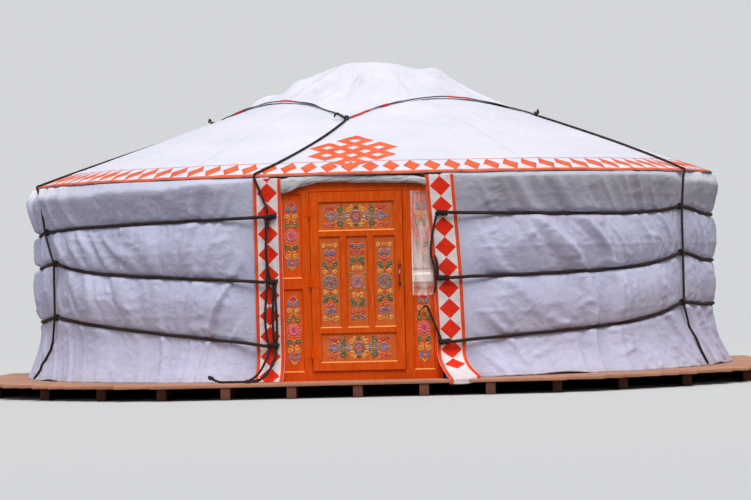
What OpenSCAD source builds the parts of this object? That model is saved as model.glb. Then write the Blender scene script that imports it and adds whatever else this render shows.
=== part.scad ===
// Felt yurt on a low timber deck: lattice wall, roof poles seated in a domed
// crown, felt and canvas covers, girth ropes and a panelled door that opens
// outwards. The door is at -Y. Millimetres, +Z up, ground at z = 0.

/* [Deck] */
// How far the stepped ends of the deck boards reach past the lattice
deck_rim = 715; // [600:5:1300]
// How far the straight front and back edges stand past the lattice
deck_apron = 365; // [350:5:600]
// Thickness of the deck boards
board_t = 28; // [18:1:45]
// Width of a deck board
board_w = 120; // [90:1:200]
// Gap between two deck boards
board_gap = 5; // [2:1:8]
// Step to which the board ends are cut
board_step = 150; // [50:10:300]
// Width of a joist under the deck
joist_w = 74; // [45:1:120]
// Height of a joist
joist_h = 100; // [60:1:200]
// Distance between two joists
joist_pitch = 525; // [400:5:600]
// How far the joist ends stay behind the board edge
joist_setback = 12; // [5:1:40]

/* [Lattice wall] */
// Outer radius of the lattice
lattice_r = 2885; // [2700:5:2950]
// Thickness of one lath
lath_t = 12; // [8:1:16]
// Width of a lath
lath_w = 28; // [20:1:36]
// Number of folding wall sections
sections = 5; // [5:1:5]
// Lattice heads along one wall section
heads = 12; // [10:1:14]
// Rows of diamonds from the deck to the heads
diamond_rows = 5; // [4:1:6]
// Height of the lowest crossing above the deck
lattice_foot = 40; // [30:1:60]
// Gap between two neighbouring wall sections
section_gap = 6; // [3:1:10]

/* [Roof] */
// How far the canvas edge at the eave stands above the door frame
eave_rise = 60; // [50:1:120]
// How far the canvas edge at the eave stands outside the lattice
eave_out = 55; // [45:1:65]
// Height of the drip edge that hangs from the eave
drip_h = 14; // [8:1:30]
// How far the drip edge leans out
drip_out = 18; // [10:1:25]
// Rise of the roof for each unit of run
roof_slope = 0.344; // [0.3:0.01:0.4]
// Diameter of a roof pole
pole_d = 38; // [32:1:42]
// Side of the squared tip of a pole
tip_w = 24; // [20:1:26]
// Length of the tip inside the crown ring
tip_seat = 50; // [40:1:60]
// Roof poles that rest on the door rail
door_poles = 5; // [3:2:5]

/* [Crown] */
// Outer radius of the crown ring
crown_r = 700; // [690:5:750]
// Radial width of the crown ring
crown_w = 100; // [90:1:110]
// Height of the ring at its outer face
crown_h = 95; // [85:1:120]
// How far the highest point of the crown cover stands above the eave
crown_rise = 1040; // [1030:5:1080]
// Radius of the arched crown spokes
spoke_bend_r = 800; // [780:5:900]
// Width of a crown spoke
spoke_w = 42; // [30:1:60]
// Thickness of a crown spoke
spoke_t = 32; // [24:1:40]
// Radius of the small inner ring
inner_ring_r = 290; // [250:5:350]
// Radius of the disc at the middle of the crown
hub_r = 85; // [70:1:110]

/* [Posts] */
// Distance of a post from the centre
post_x = 430; // [380:5:480]
// Side of the square post
post_w = 72; // [50:1:90]
// Length of the bracket on top of a post
bracket_l = 460; // [300:10:520]
// Height of the bracket
bracket_h = 90; // [60:1:120]

/* [Felt and canvas] */
// Thickness of the wall felt
wall_felt_t = 30; // [15:1:40]
// Thickness of the roof felt
roof_felt_t = 20; // [12:1:30]
// Thickness of the canvas as built, with its seams and folds
canvas_t = 4; // [2:1:6]
// How far the canvas swells between two ropes
bulge = 52; // [20:1:80]
// How far the canvas swells under the eave
top_bulge = 72; // [30:1:90]
// How far the hem of the wall canvas stands out past the ropes
hem_flare = 122; // [60:1:180]
// Angle over which the canvas eases from flat beside the door to its full swell
slack_angle = 9; // [5:1:15]
// Radius of the smoke hole in the roof covers
smoke_r = 625; // [610:5:650]
// Half diagonal of the square crown cover
cover_reach = 1450; // [1300:10:1600]
// Turn of the crown cover from the door axis
cover_turn = -7.5; // [-15:0.5:15]

/* [Door trim] */
// Width of a door strip on the frame
strip_lap = 72; // [50:1:80]
// Width of a door strip past the frame
strip_side = 158; // [120:1:180]
// Height over which a strip curls forward at the deck
strip_curl_h = 220; // [120:5:300]
// How far the left strip curls forward
strip_curl_out = 60; // [20:1:90]
// How far the right strip hangs over the deck's edge
strip_hang = 40; // [20:1:90]
// Radius of the rolled canvas over the door
valance_r = 24; // [15:1:26]
// How far the ends of that roll droop
valance_droop = 80; // [40:1:120]
// How far the roll stays inside the frame's edge
valance_inset = 30; // [10:1:60]

/* [Ropes] */
// Diameter of the girth and tie ropes
rope_d = 22; // [14:1:26]
// Heights of the girth ropes at the door, lowest first
girth_door_h = [290, 800, 1320]; // [250:5:1350]
// Heights of the girth ropes at the side ties, lowest first
girth_side_h = [490, 950, 1320]; // [250:5:1350]
// Angle from the door at which the side ties hold the girth ropes
side_tie = 70; // [60:1:80]
// Turns of rope in each knot beside the door
knot_turns = 5; // [3:1:6]
// How far the middle of a knot stands outside the door frame's edge
tie_out = 18; // [-5:1:33]

/* [Door frame] */
// How far the front face of the frame stands outside the lattice
door_out = 0; // [-15:1:15]
// Height of the frame
frame_h = 1600; // [1580:5:1800]
// Depth of the frame
frame_t = 90; // [70:1:92]
// Width of the outer stile
outer_stile = 70; // [50:1:90]
// Width of the jamb beside the leaf
jamb_w = 72; // [50:1:90]
// Width of a side panel
side_panel_w = 150; // [120:1:180]
// Heights of the rails and side panels, from the sill up
side_rows = [80, 650, 100, 660]; // [60:5:700]
// Height of the sill under the leaf
sill_h = 73; // [50:1:90]
// Depth by which the stop behind the leaf reaches into the opening
stop_w = 15; // [10:1:25]
// Depth of the panels behind the faces around them
recess = 14; // [8:1:20]
// Thickness of a panel
panel_t = 14; // [8:1:18]

/* [Door leaf] */
// Width of the leaf
leaf_w = 740; // [700:1:780]
// Thickness of the leaf
leaf_t = 42; // [35:1:50]
// How far the leaf stands in front of the frame
leaf_proud = 18; // [8:1:25]
// Gap around the leaf
leaf_gap = 5; // [5:1:8]
// Width of the stiles of the leaf
stile_w = 72; // [60:1:90]
// Width of the bars between the three tall panels
muntin_w = 60; // [40:1:70]
// Heights of the rails and panels of the leaf, from the bottom up
leaf_rows = [72, 220, 58, 716, 58, 218, 88]; // [50:1:750]

/* [Ironwork] */
// Radius of a hinge knuckle
knuckle_r = 8; // [7:0.5:9]
// Radius of a hinge pin
pin_r = 3; // [2.5:0.5:4]
// Height of a hinge
hinge_h = 90; // [70:1:120]
// Height of the pull handle's centre above the deck
pull_z = 835; // [700:5:1000]
// Length of the pull handle
pull_l = 175; // [140:1:220]

/* [Hidden] */
$fn = 48;
// Clearance at a seat, and the wider one under folded cloth
fit = 0.3;
cloth_fit = 1.5;
// Number of canvas stations along one wall section
stations = heads;
// Sides of a fixed rope and of a loose one
rope_sides = 6;
tail_sides = 8;

deck_top = joist_h + board_t;
deck_r = lattice_r + deck_rim;
deck_front = lattice_r + deck_apron;
eave_r = lattice_r + eave_out;
door_y = lattice_r + door_out;
rope_r = rope_d / 2;
slope_angle = atan(roof_slope);
slope_cos = cos(slope_angle);

frame_w = leaf_w + 2 * (leaf_gap + jamb_w + side_panel_w + outer_stile);
frame_back = door_y - frame_t;
door_angle = asin((frame_w / 2 + 8) / lattice_r);
section_angle = (360 - 2 * door_angle) / sections;
head_angle = section_angle / heads;

felt_in = lattice_r + fit;
felt_out = felt_in + wall_felt_t;
// Outer radius of the canvas where a rope holds it, with room for its chords
pinch_r = felt_out / cos(head_angle / 2) + canvas_t + fit;

// Cloth strips beside the door: inner edge, bend at the frame's edge, outer edge
strip_in = frame_w / 2 - strip_lap;
strip_bend = frame_w / 2 + 4;
strip_out = frame_w / 2 + strip_side;
strip_t = 3;
strip_back = door_y + 1;
// Beside the door the canvas runs straight from the frame to the round wall
canvas_taut = atan(strip_bend / strip_back) + acos(pinch_r / norm([strip_bend, strip_back]));

eave_h = frame_h + eave_rise;
crown_top = eave_h + crown_rise;
tie_x = frame_w / 2 + tie_out;

// Heights above the ground of the layers of the roof at radius r
function canvas_top(r) = deck_top + eave_h + (eave_r - r) * roof_slope;
function canvas_low(r) = canvas_top(r) - canvas_t / slope_cos;
function roof_felt_top(r) = canvas_low(r) - fit;
function roof_felt_low(r) = roof_felt_top(r) - roof_felt_t / slope_cos;
function pole_axis(r) = roof_felt_low(r) - (pole_d / 2 + fit) / slope_cos;
roof_felt_r = eave_r - 10;

lattice_mid = lattice_r - lath_t;
lattice_top = roof_felt_low(lattice_r) - 1;
// Each pole rests in the fork of two laths, which sets how far they lean
lath_run = 2 * lattice_mid * sin(diamond_rows * head_angle / 2);
function fork_drop(lean) = (pole_d + lath_w) / 2 / sin(lean);
function lean_for(drop) = atan(lath_run / (pole_axis(lattice_mid) - drop - deck_top - lattice_foot));
lath_lean = lean_for(fork_drop(lean_for(fork_drop(lean_for(0)))));
lath_rise = lath_run / tan(lath_lean);
pole_end_r = lattice_r - fit - pole_d / 2 * sin(slope_angle) - 2;

// Point at radius r and height z, at an angle from the door, positive to +X
function polar(r, angle, z) = [r * sin(angle), -r * cos(angle), z];
function unit(v) = v / norm(v);
function mix(a, b, t) = a + (b - a) * t;
// Angle from the door on either side, 0 to 180
function from_door(angle) = let (a = ((angle % 360) + 360) % 360) min(a, 360 - a);

// A closed solid between an outer and an inner grid of points. Seen from
// outside, the first index runs to the right and the second runs up.
module sheet_solid(outer, inner) {
    rows = len(outer);
    cols = len(outer[0]);
    count = rows * cols;
    points = concat([for (row = outer) for (p = row) p], [for (row = inner) for (p = row) p]);
    function at(i, j) = i * cols + j;
    front = [for (i = [0 : rows - 2]) for (j = [0 : cols - 2])
        for (f = [[at(i, j), at(i, j + 1), at(i + 1, j + 1)], [at(i, j), at(i + 1, j + 1), at(i + 1, j)]]) f];
    back = [for (f = front) [f[0] + count, f[2] + count, f[1] + count]];
    rim = concat(
        [for (j = [0 : cols - 2]) [at(0, j), at(0, j + 1)]],
        [for (i = [0 : rows - 2]) [at(i, cols - 1), at(i + 1, cols - 1)]],
        [for (j = [cols - 1 : -1 : 1]) [at(rows - 1, j), at(rows - 1, j - 1)]],
        [for (i = [rows - 1 : -1 : 1]) [at(i, 0), at(i - 1, 0)]]);
    sides = [for (e = rim)
        for (f = [[e[1], e[0], e[0] + count], [e[1], e[0] + count, e[1] + count]]) f];
    polyhedron(points, concat(front, back, sides));
}

// A rope swept along a list of points
module rope(path, across, r = rope_r, sides = rope_sides) {
    n = len(path);
    function heading(i) = unit(path[min(i + 1, n - 1)] - path[max(i - 1, 0)]);
    function ring(i) = let (t = heading(i), u = unit(across - t * (across * t)), v = cross(t, u))
        [for (k = [0 : sides - 1]) let (a = 360 * (k + 0.5) / sides)
            path[i] + r * (cos(a) * u + sin(a) * v)];
    walls = [for (i = [0 : n - 2]) for (k = [0 : sides - 1])
        let (a = i * sides + k, b = i * sides + (k + 1) % sides)
            for (f = [[a, a + sides, b + sides], [a, b + sides, b]]) f];
    start = [[for (k = [0 : sides - 1]) k]];
    end = [[for (k = [sides - 1 : -1 : 0]) (n - 1) * sides + k]];
    polyhedron([for (i = [0 : n - 1]) for (p = ring(i)) p], concat(walls, start, end));
}

// A ring sector of a profile, from one angle to another as seen from the door
module sector(from, to) {
    rotate([0, 0, from - 90]) rotate_extrude(angle = to - from, $fn = 180) children();
}

// Deck
joist_count = floor((deck_r - joist_w) / joist_pitch);
function board_half(y) = board_step * round(sqrt(pow(deck_r, 2) - pow(y, 2)) / board_step);
function deck_depth(x) = min(deck_front, sqrt(pow(deck_r, 2) - pow(abs(x) + joist_w / 2, 2)) - board_w);

module deck_joists() {
    color("saddlebrown") for (i = [-joist_count : joist_count]) {
        half = deck_depth(i * joist_pitch) - joist_setback;
        translate([i * joist_pitch - joist_w / 2, -half, 0]) cube([joist_w, 2 * half, joist_h]);
    }
}

module deck_boards() {
    rows = floor((2 * deck_front + board_gap) / (board_w + board_gap));
    pitch = (2 * deck_front + board_gap) / rows;
    color("sienna") for (i = [0 : rows - 1]) {
        y = -deck_front + i * pitch;
        half = board_half(y + pitch / 2);
        translate([-half, y, joist_h]) cube([2 * half, pitch - board_gap, board_t]);
    }
}

// Lattice wall: two layers of laths that lean opposite ways and cross
module lath(middle, lean, inner, outer, from, to) {
    intersection() {
        sector(from, to) translate([inner, deck_top]) square([outer - inner, lattice_top - deck_top]);
        rotate([0, 0, middle])
            translate([0, -lattice_mid, deck_top + lattice_foot + lath_rise / 2])
                rotate([0, lean * lath_lean, 0])
                    cube([lath_w, 4 * lath_t + lath_run / 3, 2 * lath_rise], center = true);
    }
}

module lattice(i) {
    edge = asin(section_gap / 2 / lattice_mid);
    from = door_angle + i * section_angle;
    span = diamond_rows * head_angle;
    margin = 0.3 * head_angle;
    lap = 0.4;
    color("darkorange") for (lean = [-1, 1]) for (k = [0 : heads + diamond_rows - 1]) {
        step = (k + 0.5) * head_angle;
        head = lean < 0 ? step : section_angle - step;
        foot = head + lean * span;
        if (min(head, foot) < section_angle - margin && max(head, foot) > margin)
            lath(from + (head + foot) / 2, -lean,
                lean < 0 ? lattice_r - 2 * lath_t : lattice_mid - lap,
                lean < 0 ? lattice_mid : lattice_r,
                from + edge, from + section_angle - edge);
    }
}

// Roof poles: round shafts with squared tips that sit in the crown ring
pole_angles = concat(
    [for (i = [0 : sections - 1]) for (k = [0 : heads - 1])
        door_angle + i * section_angle + (k + 0.5) * head_angle],
    [for (k = [0 : door_poles - 1]) (k + 0.5 - door_poles / 2) * 2 * door_angle / door_poles]);

// Places children along a pole's axis, from radius r inwards, with +Z up the pole
module on_pole(angle, r) {
    rotate([0, 0, angle]) translate([0, -r, pole_axis(r)]) rotate([slope_angle - 90, 0, 0]) children();
}

module roof_poles() {
    shaft = (pole_end_r - crown_r) / slope_cos - pole_d / 2 * roof_slope - fit;
    tip = (pole_end_r - crown_r + tip_seat) / slope_cos - fit;
    color("darkorange") for (a = pole_angles) on_pole(a, pole_end_r) {
        cylinder(d = pole_d, h = shaft);
        translate([-tip_w / 2, -tip_w / 2, 1]) cube([tip_w, tip_w, tip - 1]);
    }
}

// Crown, with room for the facets of the cover that lies on it
cover_lift = 5;
function dome(r) = deck_top + crown_top - canvas_t - cover_lift - spoke_bend_r
    + sqrt(pow(spoke_bend_r, 2) - pow(r, 2));

module crown_ring() {
    low = roof_felt_low(crown_r) - 1 - crown_h;
    inner = crown_r - crown_w;
    color("orangered") difference() {
        rotate_extrude($fn = 180) polygon([
            [inner, low], [crown_r, low],
            [crown_r, roof_felt_low(crown_r) - 1], [inner, roof_felt_low(inner) - 1]]);
        for (a = pole_angles) on_pole(a, crown_r - tip_seat / 2)
            cube([tip_w + 2 * fit, tip_w + 2 * fit, tip_seat / slope_cos + tip_w * roof_slope], center = true);
    }
}

// One arched spoke from radius r1 to r2, with flat ends
module spoke(r1, r2) {
    rotate([90, 0, 0]) translate([0, dome(0) - spoke_bend_r, -spoke_w / 2])
        linear_extrude(spoke_w) intersection() {
            difference() {
                circle(r = spoke_bend_r, $fn = 180);
                circle(r = spoke_bend_r - spoke_t, $fn = 180);
            }
            translate([r1, 0]) square([r2 - r1, spoke_bend_r]);
        }
}

// Hub of the crown: a disc and the small ring, joined by eight short spokes
module crown_hub() {
    sunk = 3;
    thick = spoke_t + 8;
    ring_out = inner_ring_r + spoke_t / 2;
    color("orangered") union() {
        for (a = [0 : 45 : 315]) rotate([0, 0, a]) spoke(hub_r - 25, inner_ring_r);
        translate([0, 0, dome(hub_r) - sunk - thick]) cylinder(r = hub_r, h = thick);
        translate([0, 0, dome(ring_out) - sunk - thick]) rotate_extrude($fn = 90)
            translate([ring_out - spoke_t, 0]) square([spoke_t, thick]);
    }
}

// Eight spokes from the small ring down to the crown ring
module crown_spokes() {
    from = inner_ring_r + spoke_t / 2 + fit;
    to = sqrt(pow(crown_r - crown_w - fit, 2) - pow(spoke_w / 2, 2));
    color("orangered") for (a = [0 : 45 : 315]) rotate([0, 0, a]) spoke(from, to);
}

// Two posts carry the crown ring on bracket heads
module post(side) {
    ring_low = roof_felt_low(crown_r) - 1 - crown_h;
    top = ring_low - fit;
    reach = bracket_l / 2;
    color("orangered") translate([side * post_x, 0, 0]) union() {
        translate([-post_w / 2, -post_w / 2, deck_top]) cube([post_w, post_w, top - bracket_h - deck_top + 1]);
        translate([0, post_w / 2, top]) rotate([90, 0, 0]) linear_extrude(post_w) polygon([
            [-reach, 0], [reach, 0], [reach, -bracket_h / 3],
            [post_w, -bracket_h], [-post_w, -bracket_h], [-reach, -bracket_h / 3]]);
    }
}

// Door frame, in door coordinates: x across, y up, z out of the face
module door_plane(face) {
    translate([0, -face, deck_top]) rotate([90, 0, 0]) children();
}

opening_w = leaf_w + 2 * leaf_gap;
leaf_h = leaf_rows[0] + leaf_rows[1] + leaf_rows[2] + leaf_rows[3] + leaf_rows[4] + leaf_rows[5] + leaf_rows[6];
opening_top = sill_h + leaf_h + 2 * leaf_gap;
side_x = opening_w / 2 + jamb_w;
side_low = [side_rows[0], side_rows[0] + side_rows[1] + side_rows[2]];
side_size = [side_rows[1], side_rows[3]];

// A cut through a board with a bevelled front edge, corner at the origin
module panel_cut(w, h, depth) {
    bevel = recess * 0.6;
    translate([0, 0, -depth - 1]) cube([w, h, depth + 2]);
    polyhedron([
        [0, 0, -recess], [w, 0, -recess], [w, h, -recess], [0, h, -recess],
        [-bevel, -bevel, 1], [w + bevel, -bevel, 1], [w + bevel, h + bevel, 1], [-bevel, h + bevel, 1]],
        [[0, 1, 2, 3], [4, 7, 6, 5], [0, 4, 5, 1], [1, 5, 6, 2], [2, 6, 7, 3], [3, 7, 4, 0]]);
}

// A panel that fits such a cut with room to move
module panel_board(w, h) {
    translate([fit, fit, -recess - panel_t]) cube([w - 2 * fit, h - 2 * fit, panel_t]);
}

module door_frame() {
    rebate = leaf_t - leaf_proud + leaf_gap;
    color("darkorange") door_plane(door_y) difference() {
        translate([-frame_w / 2, 0, -frame_t]) cube([frame_w, frame_h, frame_t]);
        translate([-opening_w / 2, sill_h, -rebate]) cube([opening_w, opening_top - sill_h, rebate + 1]);
        translate([-opening_w / 2 + stop_w, sill_h + stop_w, -frame_t - 1])
            cube([opening_w - 2 * stop_w, opening_top - sill_h - 2 * stop_w, frame_t]);
        for (side = [0, 1]) for (row = [0, 1])
            translate([side ? side_x : -side_x - side_panel_w, side_low[row], 0])
                panel_cut(side_panel_w, side_size[row], frame_t);
    }
}

module side_panels(side) {
    color("chocolate") door_plane(door_y) for (row = [0, 1])
        translate([side > 0 ? side_x : -side_x - side_panel_w, side_low[row], 0])
            panel_board(side_panel_w, side_size[row]);
}

// Rail behind the frame whose top follows the poles over the door
module door_head_rail() {
    rail_t = 60;
    drop = 110;
    color("darkorange") intersection() {
        translate([-frame_w / 2, -frame_back + fit, 0]) cube([frame_w, rail_t, 2 * eave_h]);
        rotate([0, 0, -door_angle - 90]) rotate_extrude(angle = 2 * door_angle, $fn = 180) polygon([
            [frame_back - drop, pole_axis(frame_back) - drop],
            [lattice_r + rail_t, pole_axis(frame_back) - drop],
            [lattice_r + rail_t, pole_axis(lattice_r + rail_t) - (pole_d / 2 + fit) / slope_cos],
            [frame_back - drop, pole_axis(frame_back - drop) - (pole_d / 2 + fit) / slope_cos]]);
    }
}

// Door leaf: stiles, rails and bars around five panels
leaf_face = door_y + leaf_proud;
leaf_low = sill_h + leaf_gap;
function row_low(i) = i == 0 ? 0 : leaf_rows[i - 1] + row_low(i - 1);
wide_w = leaf_w - 2 * stile_w;
tall_w = (wide_w - 2 * muntin_w) / 3;
leaf_cells = concat(
    [[stile_w, row_low(1), wide_w, leaf_rows[1]]],
    [for (k = [0 : 2]) [stile_w + k * (tall_w + muntin_w), row_low(3), tall_w, leaf_rows[3]]],
    [[stile_w, row_low(5), wide_w, leaf_rows[5]]]);

module leaf_plane() {
    door_plane(leaf_face) translate([-leaf_w / 2, leaf_low, 0]) children();
}

module door_leaf() {
    color("darkorange") leaf_plane() difference() {
        translate([0, 0, -leaf_t]) cube([leaf_w, leaf_h, leaf_t]);
        for (c = leaf_cells) translate([c[0], c[1], 0]) panel_cut(c[2], c[3], leaf_t);
    }
}

module leaf_panels() {
    color("chocolate") leaf_plane() for (c = leaf_cells)
        translate([c[0], c[1], 0]) panel_board(c[2], c[3]);
}

// Hinges: the frame halves carry the pin, the leaf halves turn on it
hinge_x = -leaf_w / 2 - leaf_gap / 2;
hinge_y = leaf_face + knuckle_r + 0.5;
hinge_z = [leaf_low + 150, leaf_low + leaf_h / 2, leaf_low + leaf_h - 150];
hinge_plate_w = 40;
hinge_plate_t = 3;
hinge_split = hinge_h / 3;
hinge_play = 0.5;

module hinge_frame_halves() {
    color("dimgray") for (z = hinge_z) translate([hinge_x, -hinge_y, deck_top + z]) union() {
        arm = hinge_y - door_y;
        cylinder(r = pin_r, h = hinge_h, center = true);
        for (end = [-1, 1]) translate([0, 0, end * hinge_split - hinge_split / 2]) {
            cylinder(r = knuckle_r, h = hinge_split);
            translate([-knuckle_r, 0, 0]) cube([hinge_plate_t, arm, hinge_split]);
        }
        translate([-knuckle_r - hinge_plate_w, arm - hinge_plate_t, -hinge_h / 2])
            cube([hinge_plate_w + hinge_plate_t, hinge_plate_t, hinge_h]);
    }
}

module hinge_leaf_halves() {
    middle = hinge_split - 2 * hinge_play;
    color("dimgray") for (z = hinge_z) translate([hinge_x, -hinge_y, deck_top + z]) difference() {
        union() {
            cylinder(r = knuckle_r, h = middle, center = true);
            translate([0, knuckle_r + 0.5 - hinge_plate_t, -middle / 2]) cube([knuckle_r + 6, hinge_plate_t, middle]);
            translate([knuckle_r + 2, knuckle_r + 0.5 - hinge_plate_t, -hinge_h / 2])
                cube([hinge_plate_w, hinge_plate_t, hinge_h]);
        }
        cylinder(r = pin_r + 0.05, h = hinge_h, center = true);
    }
}

// Pull handle: two round feet and a bowed grip
module pull_handle() {
    grip_r = 6;
    stand = 30;
    span = pull_l / 2 - 12;
    bow = 260;
    color("black") leaf_plane() translate([leaf_w - 30, pull_z - leaf_low, 0]) union() {
        for (end = [-1, 1]) translate([0, end * span, 0]) {
            cylinder(r = 13, h = 4);
            cylinder(r = grip_r, h = stand);
            translate([0, 0, stand]) sphere(r = grip_r);
        }
        translate([0, 0, stand - sqrt(pow(bow, 2) - pow(span, 2))]) rotate([0, 90, 0])
            rotate([0, 0, 180 - asin(span / bow)])
                rotate_extrude(angle = 2 * asin(span / bow), $fn = 180) translate([bow, 0]) circle(r = grip_r);
    }
}

// Felt behind the canvas, one length for each wall section
module wall_felt(i) {
    edge = asin(section_gap / 6 / felt_in);
    from = door_angle + i * section_angle;
    color("ivory") sector(from + edge, from + section_angle - edge)
        translate([felt_in, deck_top])
            square([wall_felt_t, roof_felt_low(felt_out) - deck_top - 1]);
}

module roof_felt(i) {
    step = 360 / sections;
    color("ivory") sector(i * step + 180, (i + 1) * step + 180 - 0.03) polygon([
        [smoke_r, roof_felt_low(smoke_r)], [roof_felt_r, roof_felt_low(roof_felt_r)],
        [roof_felt_r, roof_felt_top(roof_felt_r)], [smoke_r, roof_felt_top(smoke_r)]]);
}

module roof_canvas() {
    color("white") rotate_extrude($fn = 180) polygon([
        [smoke_r, canvas_low(smoke_r)], [eave_r, canvas_low(eave_r)],
        [eave_r + drip_out - canvas_t, canvas_low(eave_r) - drip_h],
        [eave_r + drip_out, canvas_top(eave_r) - drip_h],
        [eave_r, canvas_top(eave_r)], [smoke_r, canvas_top(smoke_r)]]);
}

// Wall canvas: it swells between the girth ropes and flares at the hem
function girth_z(k, angle) = let (a = min(from_door(angle), side_tie))
    deck_top + mix(girth_door_h[k], girth_side_h[k],
        max(0, sin(a) - sin(door_angle)) / (sin(side_tie) - sin(door_angle)));
canvas_head = roof_felt_low(roof_felt_r) - fit - deck_top;
hem_steps = 4;
swell_steps = 5;

// Radius of the canvas where a rope holds it
function canvas_r(angle) = pinch_r / cos(max(0, canvas_taut - from_door(angle)));
// Share of the swell that is left beside the door, where the cloth is nailed flat
function slack(angle) = min(1, max(0, from_door(angle) - door_angle) / slack_angle);

// One vertical line of the canvas, as [height, outward swell] from the hem up
function canvas_line(angle) = let (g = [for (k = [0 : 2]) girth_z(k, angle)], s = slack(angle)) concat(
    [for (i = [0 : hem_steps - 1]) let (t = i / hem_steps)
        [mix(deck_top + fit, g[0], t), s * hem_flare * pow(1 - t, 1.8)]],
    [for (k = [0, 1]) for (i = [0 : swell_steps - 1]) let (t = i / swell_steps)
        [mix(g[k], g[k + 1], t), s * bulge * sin(180 * t)]],
    [for (i = [0 : swell_steps]) let (t = i / swell_steps)
        [mix(g[2], deck_top + canvas_head, t), s * top_bulge * sin(180 * pow(t, 1.6))]]);

module wall_canvas(i) {
    from = door_angle + i * section_angle;
    trim = 0.01;
    angles = [for (k = [0 : stations]) from + mix(trim, section_angle - trim, k / stations)];
    outer = [for (a = angles) [for (p = canvas_line(a)) polar(canvas_r(a) + p[1], a, p[0])]];
    inner = [for (a = angles) [for (p = canvas_line(a)) polar(canvas_r(a) + p[1] - canvas_t, a, p[0])]];
    color("whitesmoke") sheet_solid(outer, inner);
}

// Crown cover: a square cloth laid over the dome and the roof
cover_columns = 48;
cover_radii = [8, 110, 210, 310, 400, 480, 550, 620, 700, 800];
cover_rim_rings = 4;
cover_rings = len(cover_radii) + cover_rim_rings - 1;
function cover_edge(angle) = let (a = ((angle - cover_turn) % 90 + 90) % 90)
    cover_reach / (cos(a) + sin(a));
function cover_low(r) = max(canvas_top(r) + cloth_fit, dome(min(r, spoke_bend_r)) + cover_lift);
function cover_r(i, edge) = i < len(cover_radii) ? cover_radii[i]
    : mix(cover_radii[len(cover_radii) - 1], edge, (i - len(cover_radii) + 1) / cover_rim_rings);

module crown_cover() {
    function ring_point(i, j, lift) = let (
        a = cover_turn + 360 * j / cover_columns,
        r = cover_r(i, cover_edge(a))) polar(r, a, cover_low(r) + lift);
    points = concat(
        [for (i = [0 : cover_rings]) for (j = [0 : cover_columns - 1]) ring_point(i, j, canvas_t)],
        [for (i = [0 : cover_rings]) for (j = [0 : cover_columns - 1]) ring_point(i, j, 0)]);
    half = (cover_rings + 1) * cover_columns;
    function at(i, j) = i * cover_columns + j % cover_columns;
    upper = [for (i = [0 : cover_rings - 1]) for (j = [0 : cover_columns - 1])
        for (f = [[at(i, j), at(i, j + 1), at(i + 1, j + 1)], [at(i, j), at(i + 1, j + 1), at(i + 1, j)]]) f];
    lower = [for (f = upper) [f[0] + half, f[2] + half, f[1] + half]];
    cap = [[for (j = [cover_columns - 1 : -1 : 0]) j]];
    floor_cap = [[for (j = [0 : cover_columns - 1]) j + half]];
    hem = [for (j = [0 : cover_columns - 1]) let (a = at(cover_rings, j), b = at(cover_rings, j + 1))
        for (f = [[a, b, b + half], [a, b + half, a + half]]) f];
    color("white") polyhedron(points, concat(upper, lower, cap, floor_cap, hem));
}

// Cloth strips with diamonds that hide the joints between frame and canvas
function canvas_swell(line, z, i = 0) = i >= len(line) - 2 || z <= line[i + 1][0]
    ? mix(line[i][1], line[i + 1][1], min(1, max(0, (z - line[i][0]) / (line[i + 1][0] - line[i][0]))))
    : canvas_swell(line, z, i + 1);

// Distance of the fullest canvas face from the centre line, at x across and height z
function canvas_y(x, z) = let (
    a = atan(x / strip_back),
    swell = max(slack(a) * top_bulge, canvas_swell(canvas_line(a), z)))
    (pinch_r + swell - x * sin(canvas_taut)) / cos(canvas_taut);

// A strip curls forward near the deck, up to reach from the centre line, and
// hangs over the deck's edge by hang
strip_low = deck_top + strip_t;
function strip_curl(z) = pow(max(0, min(1, 1 - (z - strip_low) / strip_curl_h)), 2);

module door_strip(side, reach, hang) {
    steps = 16;
    heights = concat(
        hang > 0 ? [deck_top - hang] : [],
        [for (i = [0 : steps]) mix(strip_low, deck_top + canvas_head - 10, pow(i / steps, 1.15))]);
    across = [strip_in, strip_bend, mix(strip_bend, strip_out, 0.5), strip_out];
    function behind(x, z) = x <= strip_bend ? strip_back : canvas_y(x, z) + 3 * cloth_fit;
    function strip_point(x, z, lift) = [
        side * (x + 0.3 * (reach - strip_back) * strip_curl(z)),
        -mix(behind(x, z), reach, strip_curl(z)) - lift, z];
    near = [for (x = across) [for (z = heights) strip_point(x, z, strip_t)]];
    far = [for (x = across) [for (z = heights) strip_point(x, z, 0)]];
    color("tomato") if (side > 0) sheet_solid(near, far); else sheet_solid(far, near);
}

// Rolled edge of the canvas over the door
module door_valance() {
    half = frame_w / 2 - valance_inset;
    top = roof_felt_low(roof_felt_r) - valance_r - cloth_fit;
    steps = 14;
    path = [for (i = [0 : steps]) let (t = -1 + 2 * i / steps)
        [half * t, -strip_back - strip_t - valance_r - 0.5, top - valance_droop * pow(abs(t), 6)]];
    color("lightgray") rope(path, [0, 0, 1], valance_r);
}

// Knots beside the door: turns of rope at the ends of the girth ropes
turn_r = 1.3 * rope_r;
turn_pitch = 1.8 * rope_r;
knot_r = turn_r + rope_r;
knot_l = (knot_turns - 1) * turn_pitch + 2 * rope_r;
tie_y = strip_back + strip_t + knot_r + fit;
function knot(side, k) = [side * tie_x, -tie_y, girth_z(k, door_angle)];

module knot_at(side, k) {
    translate(knot(side, k)) rotate([0, 90, 0]) rotate_extrude($fn = 36) union() {
        for (i = [0 : knot_turns - 1])
            translate([turn_r, (i - (knot_turns - 1) / 2) * turn_pitch]) circle(r = rope_r, $fn = 24);
        translate([0, -knot_l / 2]) square([turn_r, knot_l]);
    }
}

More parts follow.
